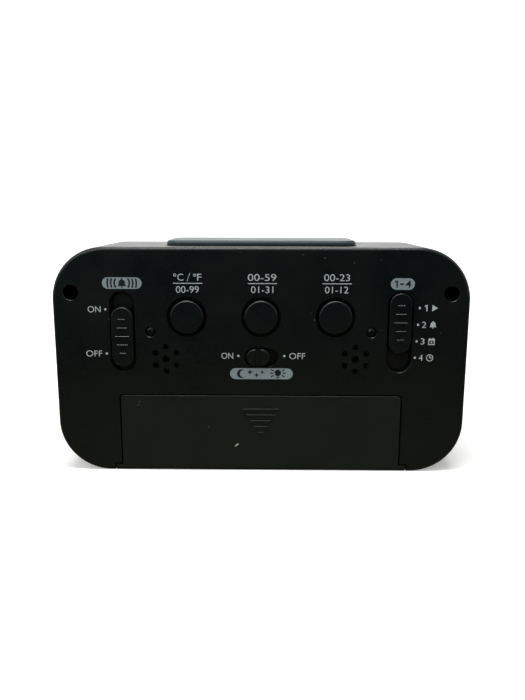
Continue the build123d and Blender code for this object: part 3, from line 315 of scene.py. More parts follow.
# %% Moulded plastic
CLOUD = 16.0 * MM
CLOUD_THIN, CLOUD_THICK = 0.2, 0.8  # nearly all of a noise lies between these values
POLISH = 0.07
DUST_SPACING = 6.5 * MM
SPECK_EDGE, SPECK_CORE, SPECK_COVER = 0.055, 0.025, 0.8  # two radii, as shares of that, and how opaque
ETCH_DEPTH_MM = 0.02


def moulded_plastic(name, colour, clouded, dust, grain_mm, roughness, gloss, relief=0.3):
    """Satin plastic: two near colours in clouds, specks of dust, and a fine grain."""
    material, tree, place = new_finish(name)
    cloud = add_node(
        tree,
        "ShaderNodeTexNoise",
        values={"Scale": 1 / CLOUD, "Detail": 3.0, "Roughness": 0.6},
        links={"Vector": place},
    )
    tone = add_node(
        tree,
        "ShaderNodeMix",
        values={MIX_A: linear(colour), MIX_B: linear(clouded)},
        links={0: cloud.outputs["Fac"]},
        data_type="RGBA",
    )
    speck = add_node(
        tree, "ShaderNodeTexVoronoi", values={"Scale": 1 / DUST_SPACING}, links={"Vector": place}
    )
    speck_mask = add_node(
        tree,
        "ShaderNodeMapRange",
        values={"From Min": SPECK_EDGE, "From Max": SPECK_CORE, "To Max": SPECK_COVER},
        links={"Value": speck.outputs["Distance"]},
    )
    dusty = add_node(
        tree,
        "ShaderNodeMix",
        values={MIX_B: linear(dust)},
        links={0: speck_mask.outputs[0], MIX_A: tone.outputs[MIX_OUT]},
        data_type="RGBA",
    )
    sheen = add_node(
        tree,
        "ShaderNodeMapRange",
        values={
            "From Min": CLOUD_THIN,
            "From Max": CLOUD_THICK,
            "To Min": roughness - POLISH,
            "To Max": roughness + POLISH,
        },
        links={"Value": cloud.outputs["Fac"]},
    )
    grain = add_node(
        tree, "ShaderNodeTexNoise", values={"Scale": 1 / (grain_mm * MM)}, links={"Vector": place}
    )
    end_finish(
        tree,
        links={"Base Color": dusty.outputs[MIX_OUT], "Roughness": sheen.outputs[0]},
        values={"Specular IOR Level": gloss},
        height=grain.outputs["Fac"],
        strength=relief,
        depth_mm=ETCH_DEPTH_MM,
    )
    return material


print("moulded plastic, with clouds", CLOUD / MM, "mm wide")

# %% [markdown]
# The outer pieces are near-black with a cool cloud, and pale where they are seen at a grazing angle. The
# bar is slate, and a little glossier from being touched. Nylon, PVC and film inside are moulded or drawn
# as well, so the same function makes them.

# %% Plastic finishes
PLASTICS = {
    # slot: name, colour, clouds, dust, grain in mm, roughness, gloss, and relief where it isn't 0.3
    "case_black": ("abs_satin_case", "0A0E0E", "0E1211", "3A403E", 0.6, 0.36, 0.35, 0.1),
    "cover_black": ("abs_satin_cover", "04090A", "090E0D", "3C4240", 0.3, 0.3, 0.28),
    "door_black": ("abs_satin_door", "0F140F", "141813", "4A4F4A", 0.3, 0.4, 0.13),
    "key_black": ("abs_satin_key", "04090A", "080D0E", "353B39", 0.25, 0.29, 0.33),
    "slider_black": ("abs_satin_slider", "040809", "070C0D", "353B39", 0.25, 0.33, 0.3),
    "snooze_grey": ("abs_satin_snooze", "2B3539", "343E42", "5A6264", 0.3, 0.38, 0.17),
    "holder_white": ("abs_white_holder", "DADAD4", "E4E4DF", "B9B9B2", 0.4, 0.45, 0.4),
    "switch_plastic": ("nylon_switch_body", "080C0C", "0E1211", "2E3231", 0.2, 0.5, 0.3),
    "plunger_plastic": ("nylon_plunger", "241F1C", "2E2824", "4A4540", 0.2, 0.45, 0.3),
    "buzzer_black": ("moulded_buzzer_case", "070707", "0A0A0A", "202020", 0.3, 0.45, 0.15),
    "led_white": ("lamp_body_cream", "E6E4C6", "EFEDD6", "C8C6A8", 0.3, 0.3, 0.5),
    "wire_red": ("pvc_red_insulation", "8F1414", "A82020", "B84040", 0.6, 0.4, 0.4),
    "wire_black": ("pvc_black_insulation", "131313", "1C1C1C", "333333", 0.6, 0.4, 0.4),
    "sheet_white": ("white_film", "E8E8E4", "F0F0EE", "D8D8D2", 0.5, 0.5, 0.3),
    "tape_black": ("adhesive_tape", "141414", "1A1A1A", "2C2C2C", 0.4, 0.6, 0.2),
}
finishes = {slot: moulded_plastic(*looks) for slot, looks in PLASTICS.items()}
print(len(finishes), "plastic finishes")

# %% [markdown]
# ## The battery door's scuff
# The door is the same ABS, from its own mould, so it reads slightly lighter and warmer. Near its middle
# the photograph shows one short pale scuff, where something scraped the satin off. It is a mask in the
# door's colour, because a scuff is a change of the surface and not a thing lying on it: the place is
# moved to the scuff, turned along it and stretched, and whatever is nearer than 1 is inside.

# %% Door finish
SCUFF_X, SCUFF_Z = 8.85 * MM, 10.1 * MM
SCUFF_LENGTH, SCUFF_WIDTH = 2.0 * MM, 0.5 * MM
SCUFF_TURN = math.radians(-42)
SCUFF_EDGE, SCUFF_CORE = 1.1, 0.7


def feeding(tree, name):
    """An input of a tree's surface shader, and the output that feeds it."""
    surface = next(n for n in tree.nodes if n.type == "BSDF_PRINCIPLED")
    return surface.inputs[name], surface.inputs[name].links[0].from_socket


tree = finishes["door_black"].node_tree
door_colour, plain_colour = feeding(tree, "Base Color")
place = add_node(tree, "ShaderNodeTexCoord").outputs["Object"]
centred = add_node(
    tree,
    "ShaderNodeVectorMath",
    values={1: (SCUFF_X, 0, SCUFF_Z)},
    links={0: place},
    operation="SUBTRACT",
)
turned = add_node(
    tree,
    "ShaderNodeVectorRotate",
    values={"Angle": SCUFF_TURN, "Axis": (0, 1, 0)},
    links={"Vector": centred.outputs[0]},
)
stretched = add_node(
    tree,
    "ShaderNodeVectorMath",
    values={1: (2 / SCUFF_LENGTH, 0, 2 / SCUFF_WIDTH)},
    links={0: turned.outputs[0]},
    operation="MULTIPLY",
)
scuff = by_distance(tree, stretched.outputs[0], SCUFF_EDGE, SCUFF_CORE)
scuffed = add_node(
    tree,
    "ShaderNodeMix",
    values={MIX_B: linear("A39C8E")},
    links={0: scuff, MIX_A: plain_colour},
    data_type="RGBA",
)
tree.links.new(scuffed.outputs[MIX_OUT], door_colour)
print("scuff", SCUFF_LENGTH / MM, "mm long")

# %% [markdown]
# ## Painted shade in the gaps
# Round the keys, the sliders and the door, narrow gaps read almost black, and that dark is painted shade.
# An ambient occlusion node knows how much is shut out by a wall within a couple of millimetres, and there
# the plastic's colour is painted nearly black as shade, and its roughness turns smooth, so the walls
# mirror each other. Only the pieces that a hand reaches get it.

# %% Painted shade in the gaps
GAP_REACH = 2.2 * MM
GAP_RAYS = 8
SHUT, OPEN = 0.35, 0.8
PAINTED_GAP_SHADE = (
    # input, value in a gap (for the colour, painted shade), and the Mix node's kind and sockets: gap, open
    # face and result
    ("Base Color", linear("010101"), "RGBA", MIX_A, MIX_B, MIX_OUT),
    ("Roughness", 0.12, "FLOAT", 2, 3, 0),
)


def paint_gap_shade(tree):
    """Paints shade into a finish's colour, and smooths it, wherever a wall stands close to it."""
    openness = add_node(
        tree, "ShaderNodeAmbientOcclusion", values={"Distance": GAP_REACH}, samples=GAP_RAYS
    )
    clear = add_node(
        tree,
        "ShaderNodeMapRange",
        values={"From Min": SHUT, "From Max": OPEN},
        links={"Value": openness.outputs["AO"]},
    )
    for name, value, kind, gap, face, result in PAINTED_GAP_SHADE:
        socket, source = feeding(tree, name)
        mix = add_node(
            tree,
            "ShaderNodeMix",
            values={gap: value},
            links={0: clear.outputs[0], face: source},
            data_type=kind,
        )
        tree.links.new(mix.outputs[result], socket)


# These outer finishes get painted shade in their gaps.
OUTER_SLOTS = ("case_black", "cover_black", "door_black", "key_black", "slider_black", "snooze_grey")
for slot in OUTER_SLOTS:
    paint_gap_shade(finishes[slot].node_tree)
print("gaps darkened in", len(OUTER_SLOTS), "finishes")

# %% [markdown]
# ## Metals
# The screws and contacts are plated steel, the wipers are phosphor bronze. Drawing, rolling or turning
# leaves fine lines along one direction, so the noise is squeezed along that direction and only changes
# the roughness and the relief. A metal keeps the default IOR: its colour is its reflection.

# %% Drawn and plated metal
SQUEEZE = 0.06
TARNISH = 3.0 * MM
SMOOTHER, ROUGHER = -0.08, 0.12


def worked_metal(name, colour, tarnish, line_mm, roughness, along):
    """Bare metal with fine working lines along one axis, and a breath of tarnish."""
    material, tree, place = new_finish(name)
    squeeze = [SQUEEZE if axis == along else 1.0 for axis in "XYZ"]
    drawn = add_node(tree, "ShaderNodeMapping", values={"Scale": squeeze}, links={"Vector": place})
    lines = add_node(
        tree, "ShaderNodeTexNoise", values={"Scale": 1 / (line_mm * MM)}, links={"Vector": drawn.outputs[0]}
    )
    blot = add_node(
        tree, "ShaderNodeTexNoise", values={"Scale": 1 / TARNISH, "Detail": 3.0}, links={"Vector": place}
    )
    end_finish(
        tree,
        values={"Metallic": 1.0},
        colours=(colour, tarnish, blot.outputs["Fac"]),
        roughnesses=(roughness + SMOOTHER, roughness + ROUGHER, lines.outputs["Fac"]),
        height=lines.outputs["Fac"],
    )
    return material


METALS = {
    # slot: name, colour, tarnish, spacing of the lines in mm, roughness, the axis that they run along
    "screw_steel": ("blackened_screw_steel", "36383A", "282A2C", 0.3, 0.38, "X"),
    "crystal_steel": ("tinned_crystal_can", "A9ABAD", "8E9092", 0.3, 0.3, "Z"),
    "contact_nickel": ("nickel_plated_spring_steel", "B7B8B6", "999A97", 0.25, 0.25, "Z"),
    "spring_steel": ("drawn_spring_steel", "96999B", "7C7F81", 0.2, 0.3, "X"),
    "wiper_brass": ("phosphor_bronze", "B9975A", "9A7A44", 0.25, 0.3, "Z"),
}
for slot, looks in METALS.items():
    finishes[slot] = worked_metal(*looks)
print(len(METALS), "metals")

# %% [markdown]
# ## Boards, rubber, foam and film
# The boards are glass-epoxy with a green mask over copper tracks; the tracks show as slightly lighter
# lines on a square grid, so a brick pattern with wide mortar gives them. The display's contact strips
# are layers of carbon and silicone 0.18 mm thick, and the ribbon is ten grey wires side by side: both
# are wave bands whose period is worked out from the real pitch.

# %% Board with tracks
TRACK_PITCH, TRACK = 2.54 * MM, 0.32 * MM
WEAVE = 0.5 * MM
MASK_MM = 0.03
finishes["board_green"], tree, place = new_finish("glass_epoxy_green_mask")
flat = add_node(
    tree, "ShaderNodeMapping", values={"Rotation": (math.radians(90), 0, 0)}, links={"Vector": place}
)
tracks = add_node(
    tree,
    "ShaderNodeTexBrick",
    values={
        "Color1": linear("0F3A21"),
        "Color2": linear("113F25"),
        "Mortar": linear("1E5B34"),
        "Scale": 1.0,
        "Mortar Size": TRACK,
        "Brick Width": 2 * TRACK_PITCH,
        "Row Height": TRACK_PITCH,
    },
    links={"Vector": flat.outputs[0]},
)
weave = add_node(tree, "ShaderNodeTexNoise", values={"Scale": 1 / WEAVE}, links={"Vector": place})
end_finish(
    tree,
    links={"Base Color": tracks.outputs["Color"]},
    roughnesses=(0.25, 0.4, weave.outputs["Fac"]),
    height=tracks.outputs["Fac"],
    strength=0.5,
    depth_mm=MASK_MM,
)
print("board with tracks every", TRACK_PITCH / MM, "mm")

# %% Banded finishes
WAVE_PERIOD = 2 * math.pi / 20  # a wave texture repeats after this much of its scaled coordinate
BAND_DEPTH_MM = 0.1


def banded(name, one, other, pitch_mm, roughness):
    """Bands of two colours that repeat at a real pitch across the piece."""
    material, tree, place = new_finish(name)
    bands = add_node(
        tree,
        "ShaderNodeTexWave",
        values={"Scale": WAVE_PERIOD / (pitch_mm * MM)},
        links={"Vector": place},
        bands_direction="X",
    )
    end_finish(
        tree,
        values={"Roughness": roughness},
        colours=(one, other, bands.outputs["Fac"]),
        height=bands.outputs["Fac"],
        strength=0.5,
        depth_mm=BAND_DEPTH_MM,
    )
    return material


finishes["strip_rubber"] = banded("silicone_carbon_layers", "C9BCA8", "2A2622", 0.36, 0.6)
finishes["ribbon_grey"] = banded("pvc_ribbon_of_wires", "8C9092", "A9ADAF", 1.4, 0.5)
print("banded finishes ready")

# %% [markdown]
# Foam has open cells that swallow light, resin dries as a glossy drop with a faint orange-peel skin,
# and the capacitor's sleeve and the sensor's bead are coloured skins shrunk or dipped over a core. They
# differ only in colour, in the size of their relief and in gloss, so one function makes all of them.


# %% Foam, resin and sleeves
def coated(name, colour, deeper, relief_mm, depth_mm, roughness):
    """A skin or foam with relief of that size and depth."""
    material, tree, place = new_finish(name)
    cells = add_node(
        tree, "ShaderNodeTexVoronoi", values={"Scale": 1 / (relief_mm * MM)}, links={"Vector": place}
    )
    end_finish(
        tree,
        values={"Roughness": roughness},
        colours=(deeper, colour, cells.outputs["Distance"]),
        height=cells.outputs["Distance"],
        strength=0.6,
        depth_mm=depth_mm,
    )
    return material


SKINS = {
    # slot: name, colour, deeper colour, width and depth of the relief in mm, roughness
    "foam_black": ("open_cell_foam", "222222", "0C0C0C", 0.4, 0.1, 0.9),
    "resin_black": ("epoxy_drop", "0D0D0E", "080808", 2.5, 0.05, 0.18),
    "capacitor_sleeve": ("shrunk_sleeve", "1B2440", "141B32", 1.5, 0.02, 0.3),
    "sensor_bead": ("dipped_epoxy_bead", "2A2118", "1C150F", 1.2, 0.03, 0.25),
}
for slot, looks in SKINS.items():
    finishes[slot] = coated(*looks)
print(len(SKINS), "skins")

# %% [markdown]
# ## Lens, light guide and display glass
# The lens and the light guide are clear acrylic, IOR 1.49: the lens is polished, the guide is frosted by
# a dot pattern that lets the light out. The liquid-crystal cell is glass with a polariser, and with its
# reflector behind it is a grey-green film that the dark digits stand on.

# %% Clear acrylic
ACRYLIC_IOR = 1.49


def clear_acrylic(name, colour, roughness, haze_mm):
    """Clear plastic whose polish changes slightly over its surface."""
    material, tree, place = new_finish(name)
    haze = add_node(
        tree, "ShaderNodeTexNoise", values={"Scale": 1 / (haze_mm * MM)}, links={"Vector": place}
    )
    end_finish(
        tree,
        values={"Base Color": linear(colour), "IOR": ACRYLIC_IOR, "Transmission Weight": 1.0},
        roughnesses=(roughness * 0.5, roughness * 1.5, haze.outputs["Fac"]),
    )
    return material


finishes["lens_clear"] = clear_acrylic("polished_acrylic_lens", "FAFCFC", 0.02, 20.0)
finishes["guide_clear"] = clear_acrylic("frosted_acrylic_guide", "F2F6F6", 0.3, 1.0)
print("clear acrylic of IOR", ACRYLIC_IOR)

# %% Display glass
BLOOM, ETCHED = 30.0 * MM, 0.4 * MM
finishes["lcd_glass"], tree, place = new_finish("liquid_crystal_cell")
bloom = add_node(tree, "ShaderNodeTexNoise", values={"Scale": 1 / BLOOM}, links={"Vector": place})
etched = add_node(
    tree, "ShaderNodeTexNoise", values={"Scale": 1 / ETCHED, "Detail": 1.0}, links={"Vector": place}
)
end_finish(
    tree,
    values={"Coat Weight": 0.5, "Coat Roughness": 0.05},
    colours=("9DA996", "A9B4A2", bloom.outputs["Fac"]),
    roughnesses=(0.18, 0.3, etched.outputs["Fac"]),
)
print(len(finishes), "finishes so far")

# %% [markdown]
# ## Cell jackets
# Each cell is a steel can in a printed film. The film's colour changes along the can, so the pattern
# reads the distance from the flat end: bare crimped steel, a green body, a pale ring near the nub, and
# bare steel again. The ring says which way round the cell goes.

# %% Cell jackets
CELL_LENGTH = 44.5 * MM
JACKET_BANDS = (
    # share of the length where the band starts, colour
    (0.0, "B4B6B8"),
    (0.012, "1E4F3C"),
    (0.78, "D9DCD6"),
    (0.86, "1E4F3C"),
    (0.968, "B4B6B8"),
)
RUB = 4.0 * MM
FOIL = 0.55


def cell_jacket(name, flat_x, towards):
    """The printed film on a can whose flat end is at flat_x and whose nub points along X."""
    material, tree, place = new_finish(name)
    parts = add_node(tree, "ShaderNodeSeparateXYZ", links={0: place})
    along = add_node(
        tree,
        "ShaderNodeMapRange",
        values={"From Min": flat_x, "From Max": flat_x + towards * CELL_LENGTH},
        links={"Value": parts.outputs["X"]},
    )
    bands = add_node(tree, "ShaderNodeValToRGB", links={0: along.outputs[0]})
    ramp = bands.color_ramp
    ramp.interpolation = "CONSTANT"
    while len(ramp.elements) < len(JACKET_BANDS):
        ramp.elements.new(0.5)
    for stop, (share, code) in zip(ramp.elements, JACKET_BANDS):
        stop.position = share
        stop.color = linear(code)
    rubbed = add_node(
        tree, "ShaderNodeTexNoise", values={"Scale": 1 / RUB, "Detail": 5.0}, links={"Vector": place}
    )
    end_finish(
        tree,
        links={"Base Color": bands.outputs[0]},
        values={"Metallic": FOIL},
        roughnesses=(0.2, 0.45, rubbed.outputs["Fac"]),
    )
    return material


jackets = {}
for number in (1, 2, 3, 4):
    node = f"battery_cell_{number}"
    low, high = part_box(node)
    flat_x, towards = (high.x, -1) if number in (1, 2) else (low.x, 1)
    jackets[node] = cell_jacket(f"printed_can_{number}", flat_x, towards)
print(len(jackets), "cell jackets")

# %% Give every CAD node its finish
for row in frame["record"]["subparts"]:
    node = frame["nodes"][row["node"]]
    finish = jackets.get(row["node"]) or finishes[row["material_slot"]]
    if not node.material_slots:
        node.data.materials.append(finish)
    for holder in node.material_slots:
        holder.material = finish

# %% [markdown]
# ## Ink
# The legends are pad printed: a soft pad lays down a film of grey ink some hundredths of a millimetre
# thick. The film is modelled as a real thin layer, so it has an edge that catches light, and its
# pigment is slightly uneven. A second, dark ink is printed over the grey pills. The display's digits
# and the black border of its lens are thin layers too, and differ only in colour and gloss.

# %% Pad-printed ink
PIGMENT = 0.5 * MM
INK_GLOSS = 0.2


def pad_ink(name, colour, thin, roughness):
    """A film of ink, thinner and darker in spots half a millimetre wide."""
    material, tree, place = new_finish(name)
    pigment = add_node(
        tree, "ShaderNodeTexNoise", values={"Scale": 1 / PIGMENT}, links={"Vector": place}
    )
    end_finish(
        tree,
        values={"Roughness": roughness, "Specular IOR Level": INK_GLOSS},
        colours=(thin, colour, pigment.outputs["Fac"]),
        height=pigment.outputs["Fac"],
    )
    return material


legend_ink = pad_ink("pad_ink_grey", "939B9B", "878F90", 0.5)
pill_ink = pad_ink("pad_ink_pill", "6B7678", "647072", 0.5)
dark_ink = pad_ink("pad_ink_dark", "10171A", "0C1214", 0.5)
digit_ink = pad_ink("display_segment_dark", "0A0D0E", "0F1313", 0.35)
border_ink = pad_ink("screen_print_black", "060707", "090A0A", 0.25)
print("inks mixed")

# %% [markdown]
# ## Flat shapes
# Words, dots, pills and pictograms are all flat shapes with a little thickness. A word starts as a text
# object and a shape starts as a flat filled curve drawn in millimetres. Both become meshes first; then
# they are scaled to metres, stood up against the face that they are printed on, and their place is
# applied. On the rear, right for the viewer is -X, so the shape is turned half round as well.

# %% Stand a flat shape on a face
INK_MM = 0.04
WELD_MM = 0.0005
FACING_REAR = (math.radians(90), 0.0, math.radians(180))
FACING_FRONT = (math.radians(90), 0.0, 0.0)
REAR_Y_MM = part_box("rear_cover")[1].y / MM
pieces_made = []


def stand(piece, facing, depth_mm, scale=(1.0, 1.0), shift=(0.0, 0.0)):
    """Turns a flat mesh, drawn in millimetres, to its face, and applies its place."""
    sign = -1 if facing is FACING_REAR else 1
    piece.scale = (scale[0] * MM, scale[1] * MM, MM)
    piece.rotation_euler = facing
    piece.location = (sign * shift[0] * MM, depth_mm * MM, shift[1] * MM)
    bpy.ops.object.transform_apply(location=True, rotation=True, scale=True)
    bpy.ops.object.mode_set(mode="EDIT")
    bpy.ops.mesh.select_all(action="SELECT")
    bpy.ops.mesh.remove_doubles(threshold=WELD_MM * MM)
    bpy.ops.mesh.normals_make_consistent(inside=False)
    bpy.ops.object.mode_set(mode="OBJECT")
    piece.select_set(False)


def finish_piece(piece, ink, body="case"):
    """Gives a new piece its ink and its body, and lists its name."""
    piece.data.materials.clear()
    piece.data.materials.append(ink)
    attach(piece, body)
    pieces_made.append(piece.name)


print("rear face at", round(REAR_Y_MM, 2), "mm")

# %% [markdown]
# Letters come from Blender's own typeface. Its strokes are a touch heavier than the printed ones, so a
# negative offset thins them, and the mesh is then stretched until its ink fills the measured space.

# %% Print words and shapes
WEIGHT = -0.006


def print_words(name, words, left, right, low, high, weight=WEIGHT, depth=REAR_Y_MM):
    """Prints words so that their ink fills the space given in millimetres on the rear face."""
    bpy.ops.object.text_add(location=(0, 0, 0))
    piece = bpy.context.active_object
    piece.data.body = words
    piece.data.size = high - low
    piece.data.extrude = INK_MM / 2
    piece.data.offset = weight
    bpy.ops.object.convert(target="MESH")
    piece = bpy.context.active_object
    piece.name = name
    xs = [v.co.x for v in piece.data.vertices]
    ys = [v.co.y for v in piece.data.vertices]
    scale = ((right - left) / (max(xs) - min(xs)), (high - low) / (max(ys) - min(ys)))
    stand(piece, FACING_REAR, depth, scale, (left - scale[0] * min(xs), low - scale[1] * min(ys)))
    return piece


def print_shape(name, outlines, facing=FACING_REAR, depth=REAR_Y_MM, thickness=INK_MM):
    """Prints closed outlines, each a list of (across, up) points in millimetres, as one layer."""
    drawing = bpy.data.curves.new(name, "CURVE")
    drawing.dimensions = "2D"
    drawing.fill_mode = "BOTH"
    drawing.extrude = thickness / 2
    for outline in outlines:
        line = drawing.splines.new("POLY")
        line.points.add(len(outline) - 1)
        for point, (across, up) in zip(line.points, outline):
            point.co = (across, up, 0.0, 1.0)
        line.use_cyclic_u = True
    piece = bpy.data.objects.new(name, drawing)
    bpy.context.scene.collection.objects.link(piece)
    piece.select_set(True)
    bpy.context.view_layer.objects.active = piece
    bpy.ops.object.convert(target="MESH")
    piece = bpy.context.active_object
    piece.name = name
    stand(piece, facing, depth)
    return piece


def joined(name, parts):
    """Joins finished flat meshes into one piece."""
    bpy.ops.object.select_all(action="DESELECT")
    for part in parts:
        part.select_set(True)
    bpy.context.view_layer.objects.active = parts[0]
    bpy.ops.object.join()
    piece = bpy.context.active_object
    piece.name = name
    piece.select_set(False)
    return piece


print("ink is", INK_MM, "mm thick")

# %% [markdown]
# ## Outlines
# A pictogram is a few closed outlines, and where one lies inside another it cuts a hole. Each is drawn
# once in a box one unit high round its own centre, and placed at its size afterwards. Where a shape is
# symmetrical, only one half of its points is written down.

# %% Arcs, boxes and pills
DISC_STEP = 15


def arc(centre, radius, start, end, steps=24):
    """Points along an arc, with its angles in degrees."""
    angles = [math.radians(start + (end - start) * i / steps) for i in range(steps + 1)]
    return [(centre[0] + radius * math.cos(t), centre[1] + radius * math.sin(t)) for t in angles]


def disc(centre, radius):
    """A full round outline."""
    return arc(centre, radius, 0, 360 - DISC_STEP, 360 // DISC_STEP - 1)


def rectangle(left, right, low, high):
    """Four corners."""
    return [(left, low), (right, low), (right, high), (left, high)]


def pill(left, right, low, high):
    """A bar with round ends."""
    radius, middle = (high - low) / 2, (high + low) / 2
    return arc((right - radius, middle), radius, -90, 90) + arc((left + radius, middle), radius, 90, 270)


def both_sides(half):
    """An outline from its left half, written upwards, and the same half mirrored."""
    return half + [(-x, y) for x, y in reversed(half)]


def both_ends(half):
    """An outline from one half of it, and the same half turned half round."""
    return half + [(-x, -y) for x, y in half]


def placed(points, centre, size):
    """Points of a unit drawing, scaled and moved to their place."""
    return [(centre[0] + size * x, centre[1] + size * y) for x, y in points]


print("round and straight outlines ready")


# %% Pictograms of the alarm and the night light
def bell(centre, size):
    """A bell with its clapper."""
    body = both_sides([
        (-0.50, -0.33), (-0.37, -0.20), (-0.34, 0.10), (-0.25, 0.30), (-0.08, 0.40), (-0.08, 0.50)
    ])
    clapper = arc((0, -0.38), 0.12, 180, 360, 8)
    return [placed(body, centre, size), placed(clapper, centre, size)]


def wave(centre, radius, start, end, thickness):
    """A short curved stroke, as of sound leaving a bell."""
    outer = arc(centre, radius + thickness / 2, start, end, 10)
    return outer + arc(centre, radius - thickness / 2, end, start, 10)


def moon(centre, size):
    """A crescent, open to the viewer's right: a disc less a second disc beside its centre."""
    tip_angle, bite_x, bite_radius, bite_angle = 50, 0.22, 0.396, 75.2
    outer = arc((0, 0), 0.5, tip_angle, 360 - tip_angle)
    inner = arc((bite_x, 0), bite_radius, 360 - bite_angle, bite_angle)
    return [placed(outer + inner[1:-1], centre, size)]


def star(centre, size):
    """A small star with four points."""
    tip, waist = 0.5, 0.14
    points = both_ends([(tip, 0), (waist, waist), (0, tip), (-waist, waist)])
    return [placed(points, centre, size)]


def bulb(centre, size):
    """A lamp bulb over its cap."""
    glass = arc((0, 0.12), 0.36, -52, 232) + [(-0.16, -0.28), (0.16, -0.28)]
    cap = rectangle(-0.15, 0.15, -0.5, -0.36)
    return [placed(glass, centre, size), placed(cap, centre, size)]


def ray(centre, start, end, thickness, angle):
    """A straight stroke that points away from a centre."""
    cosine, sine = math.cos(math.radians(angle)), math.sin(math.radians(angle))
    return [
        (centre[0] + x * cosine - y * sine, centre[1] + x * sine + y * cosine)
        for x, y in rectangle(start, end, -thickness / 2, thickness / 2)
    ]


print("five pictograms ready")


# %% Pictograms of the four settings
def arrow(centre, size):
    """A triangle that says the clock is running."""
    return [placed([(-0.34, -0.46), (0.46, 0.0), (-0.34, 0.46)], centre, size)]


def page(centre, size):
    """A calendar page with its two rings."""
    outer = both_sides([
        (-0.45, -0.5), (-0.45, 0.36), (-0.3, 0.36), (-0.3, 0.5), (-0.16, 0.5), (-0.16, 0.36)
    ])
    sheet = rectangle(-0.33, 0.33, -0.38, 0.12)
    mark = rectangle(-0.1, 0.1, -0.24, -0.02)
    return [placed(part, centre, size) for part in (outer, sheet, mark)]


def clock_face(centre, size):
    """A round dial with two hands."""
    hands = [(-0.06, -0.07), (0.27, -0.07), (0.27, 0.06), (0.07, 0.06), (0.07, 0.32), (-0.06, 0.32)]
    rings = [disc((0, 0), 0.5), disc((0, 0), 0.39), hands]
    return [placed(ring, centre, size) for ring in rings]


def one(left, low, height):
    """The numeral one, with its flag and no foot."""
    points = [(0.0, 0.62), (0.23, 0.79), (0.23, 0.0), (0.43, 0.0), (0.43, 1.0), (0.27, 1.0), (0.0, 0.82)]
    return placed(points, (left, low), height)


print("three more ready")

# %% [markdown]
# ## What the legends say
# The switches have the plain words ON and OFF, and one key has the signs for degrees. A number range or
# a pictogram says what each other control is for: 00-23 for hours, 00-59 for minutes, 01-31 for days,
# 01-12 for months, 00-99 for years, 1-4 for the four settings, a bell for the alarm, a moon and a lamp
# for the night light.

# %% Pills over and under the switches
PILL_HEIGHT = 4.1
UPPER_PILLS, LOWER_PILL = 70.5, 37.5
PILLS = {
    # name: left, right, middle height
    "alarm_pill": (-56.7, -42.5, UPPER_PILLS),
    "set_pill": (46.25, 54.75, UPPER_PILLS),
    "night_light_pill": (-11.15, 11.75, LOWER_PILL),
}
for name, (left, right, middle) in PILLS.items():
    low, high = middle - PILL_HEIGHT / 2, middle + PILL_HEIGHT / 2
    finish_piece(print_shape(name, [pill(left, right, low, high)]), pill_ink)
print(len(PILLS), "pills")

# %% [markdown]
# The signs on the pills are printed in dark ink, half a layer further out, so that no two faces lie in
# one plane. Each wave round the bell is cut off at the bell's own height.

# %% Signs on the pills
OVER_PILL = REAR_Y_MM + INK_MM / 2
SYMBOL = 3.3
WAVE_RADII, WAVE_WIDTH = (2.7, 3.95, 5.2), 0.6
ALARM_MIDDLE = (-49.6, UPPER_PILLS)
waves = []
for radius in WAVE_RADII:
    reach = math.degrees(math.asin(SYMBOL / 2 / radius))
    waves += [wave(ALARM_MIDDLE, radius, side - reach, side + reach, WAVE_WIDTH) for side in (0, 180)]
alarm = print_shape("alarm_bell_symbol", bell(ALARM_MIDDLE, SYMBOL) + waves, depth=OVER_PILL)
finish_piece(alarm, dark_ink)

RANGE_HEIGHT, RANGE_WEIGHT = 2.6, 0.02
ONE_LEFT, DASH, FOUR = 47.6, (49.4, 50.9, 70.2, 70.75), (51.4, 53.5)
low, high = UPPER_PILLS - RANGE_HEIGHT / 2, UPPER_PILLS + RANGE_HEIGHT / 2
four = print_words("set_range_4", "4", *FOUR, low, high, RANGE_WEIGHT, OVER_PILL)
rest = print_shape("set_range_1", [one(ONE_LEFT, low, RANGE_HEIGHT), pill(*DASH)], depth=OVER_PILL)
finish_piece(joined("set_range", [four, rest]), dark_ink)

MOON_MIDDLE, BULB_MIDDLE, GLOW_MIDDLE = (-7.0, LOWER_PILL), (6.3, LOWER_PILL), (6.3, 37.75)
STARS = (((-3.9, 38.1), 2.2), ((-1.5, 37.0), 1.9), ((0.6, 38.1), 1.6))
RAY = (1.75, 2.85, 0.44)  # start, end, width
night = moon(MOON_MIDDLE, SYMBOL) + [star(middle, size)[0] for middle, size in STARS]
night += bulb(BULB_MIDDLE, SYMBOL)
for angle in (-29, 0, 29, 151, 180, 209):
    night.append(ray(GLOW_MIDDLE, *RAY, angle))
finish_piece(print_shape("night_light_symbol", night, depth=OVER_PILL), dark_ink)
print("signs printed over the pills")

# %% Words and dots beside the switches
CAP = 2.25
DOT = 0.42
SWITCH_WORDS = {
    # name: words, left, right, middle height, dot across
    "alarm_on_legend": ("ON", -62.25, -57.6, 61.05, -55.9),
    "alarm_off_legend": ("OFF", -63.55, -57.7, 44.8, -56.0),
    "night_light_on_legend": ("ON", -14.25, -10.0, 44.15, -8.1),
    "night_light_off_legend": ("OFF", 10.4, 16.2, 44.15, 8.6),
}
for name, (words, left, right, middle, dot) in SWITCH_WORDS.items():
    low = middle - CAP / 2
    text = print_words(name + "_words", words, left, right, low, low + CAP)
    mark = print_shape(name + "_dot", [disc((dot, middle), DOT)])
    finish_piece(joined(name, [text, mark]), legend_ink)
print(len(SWITCH_WORDS), "words printed")

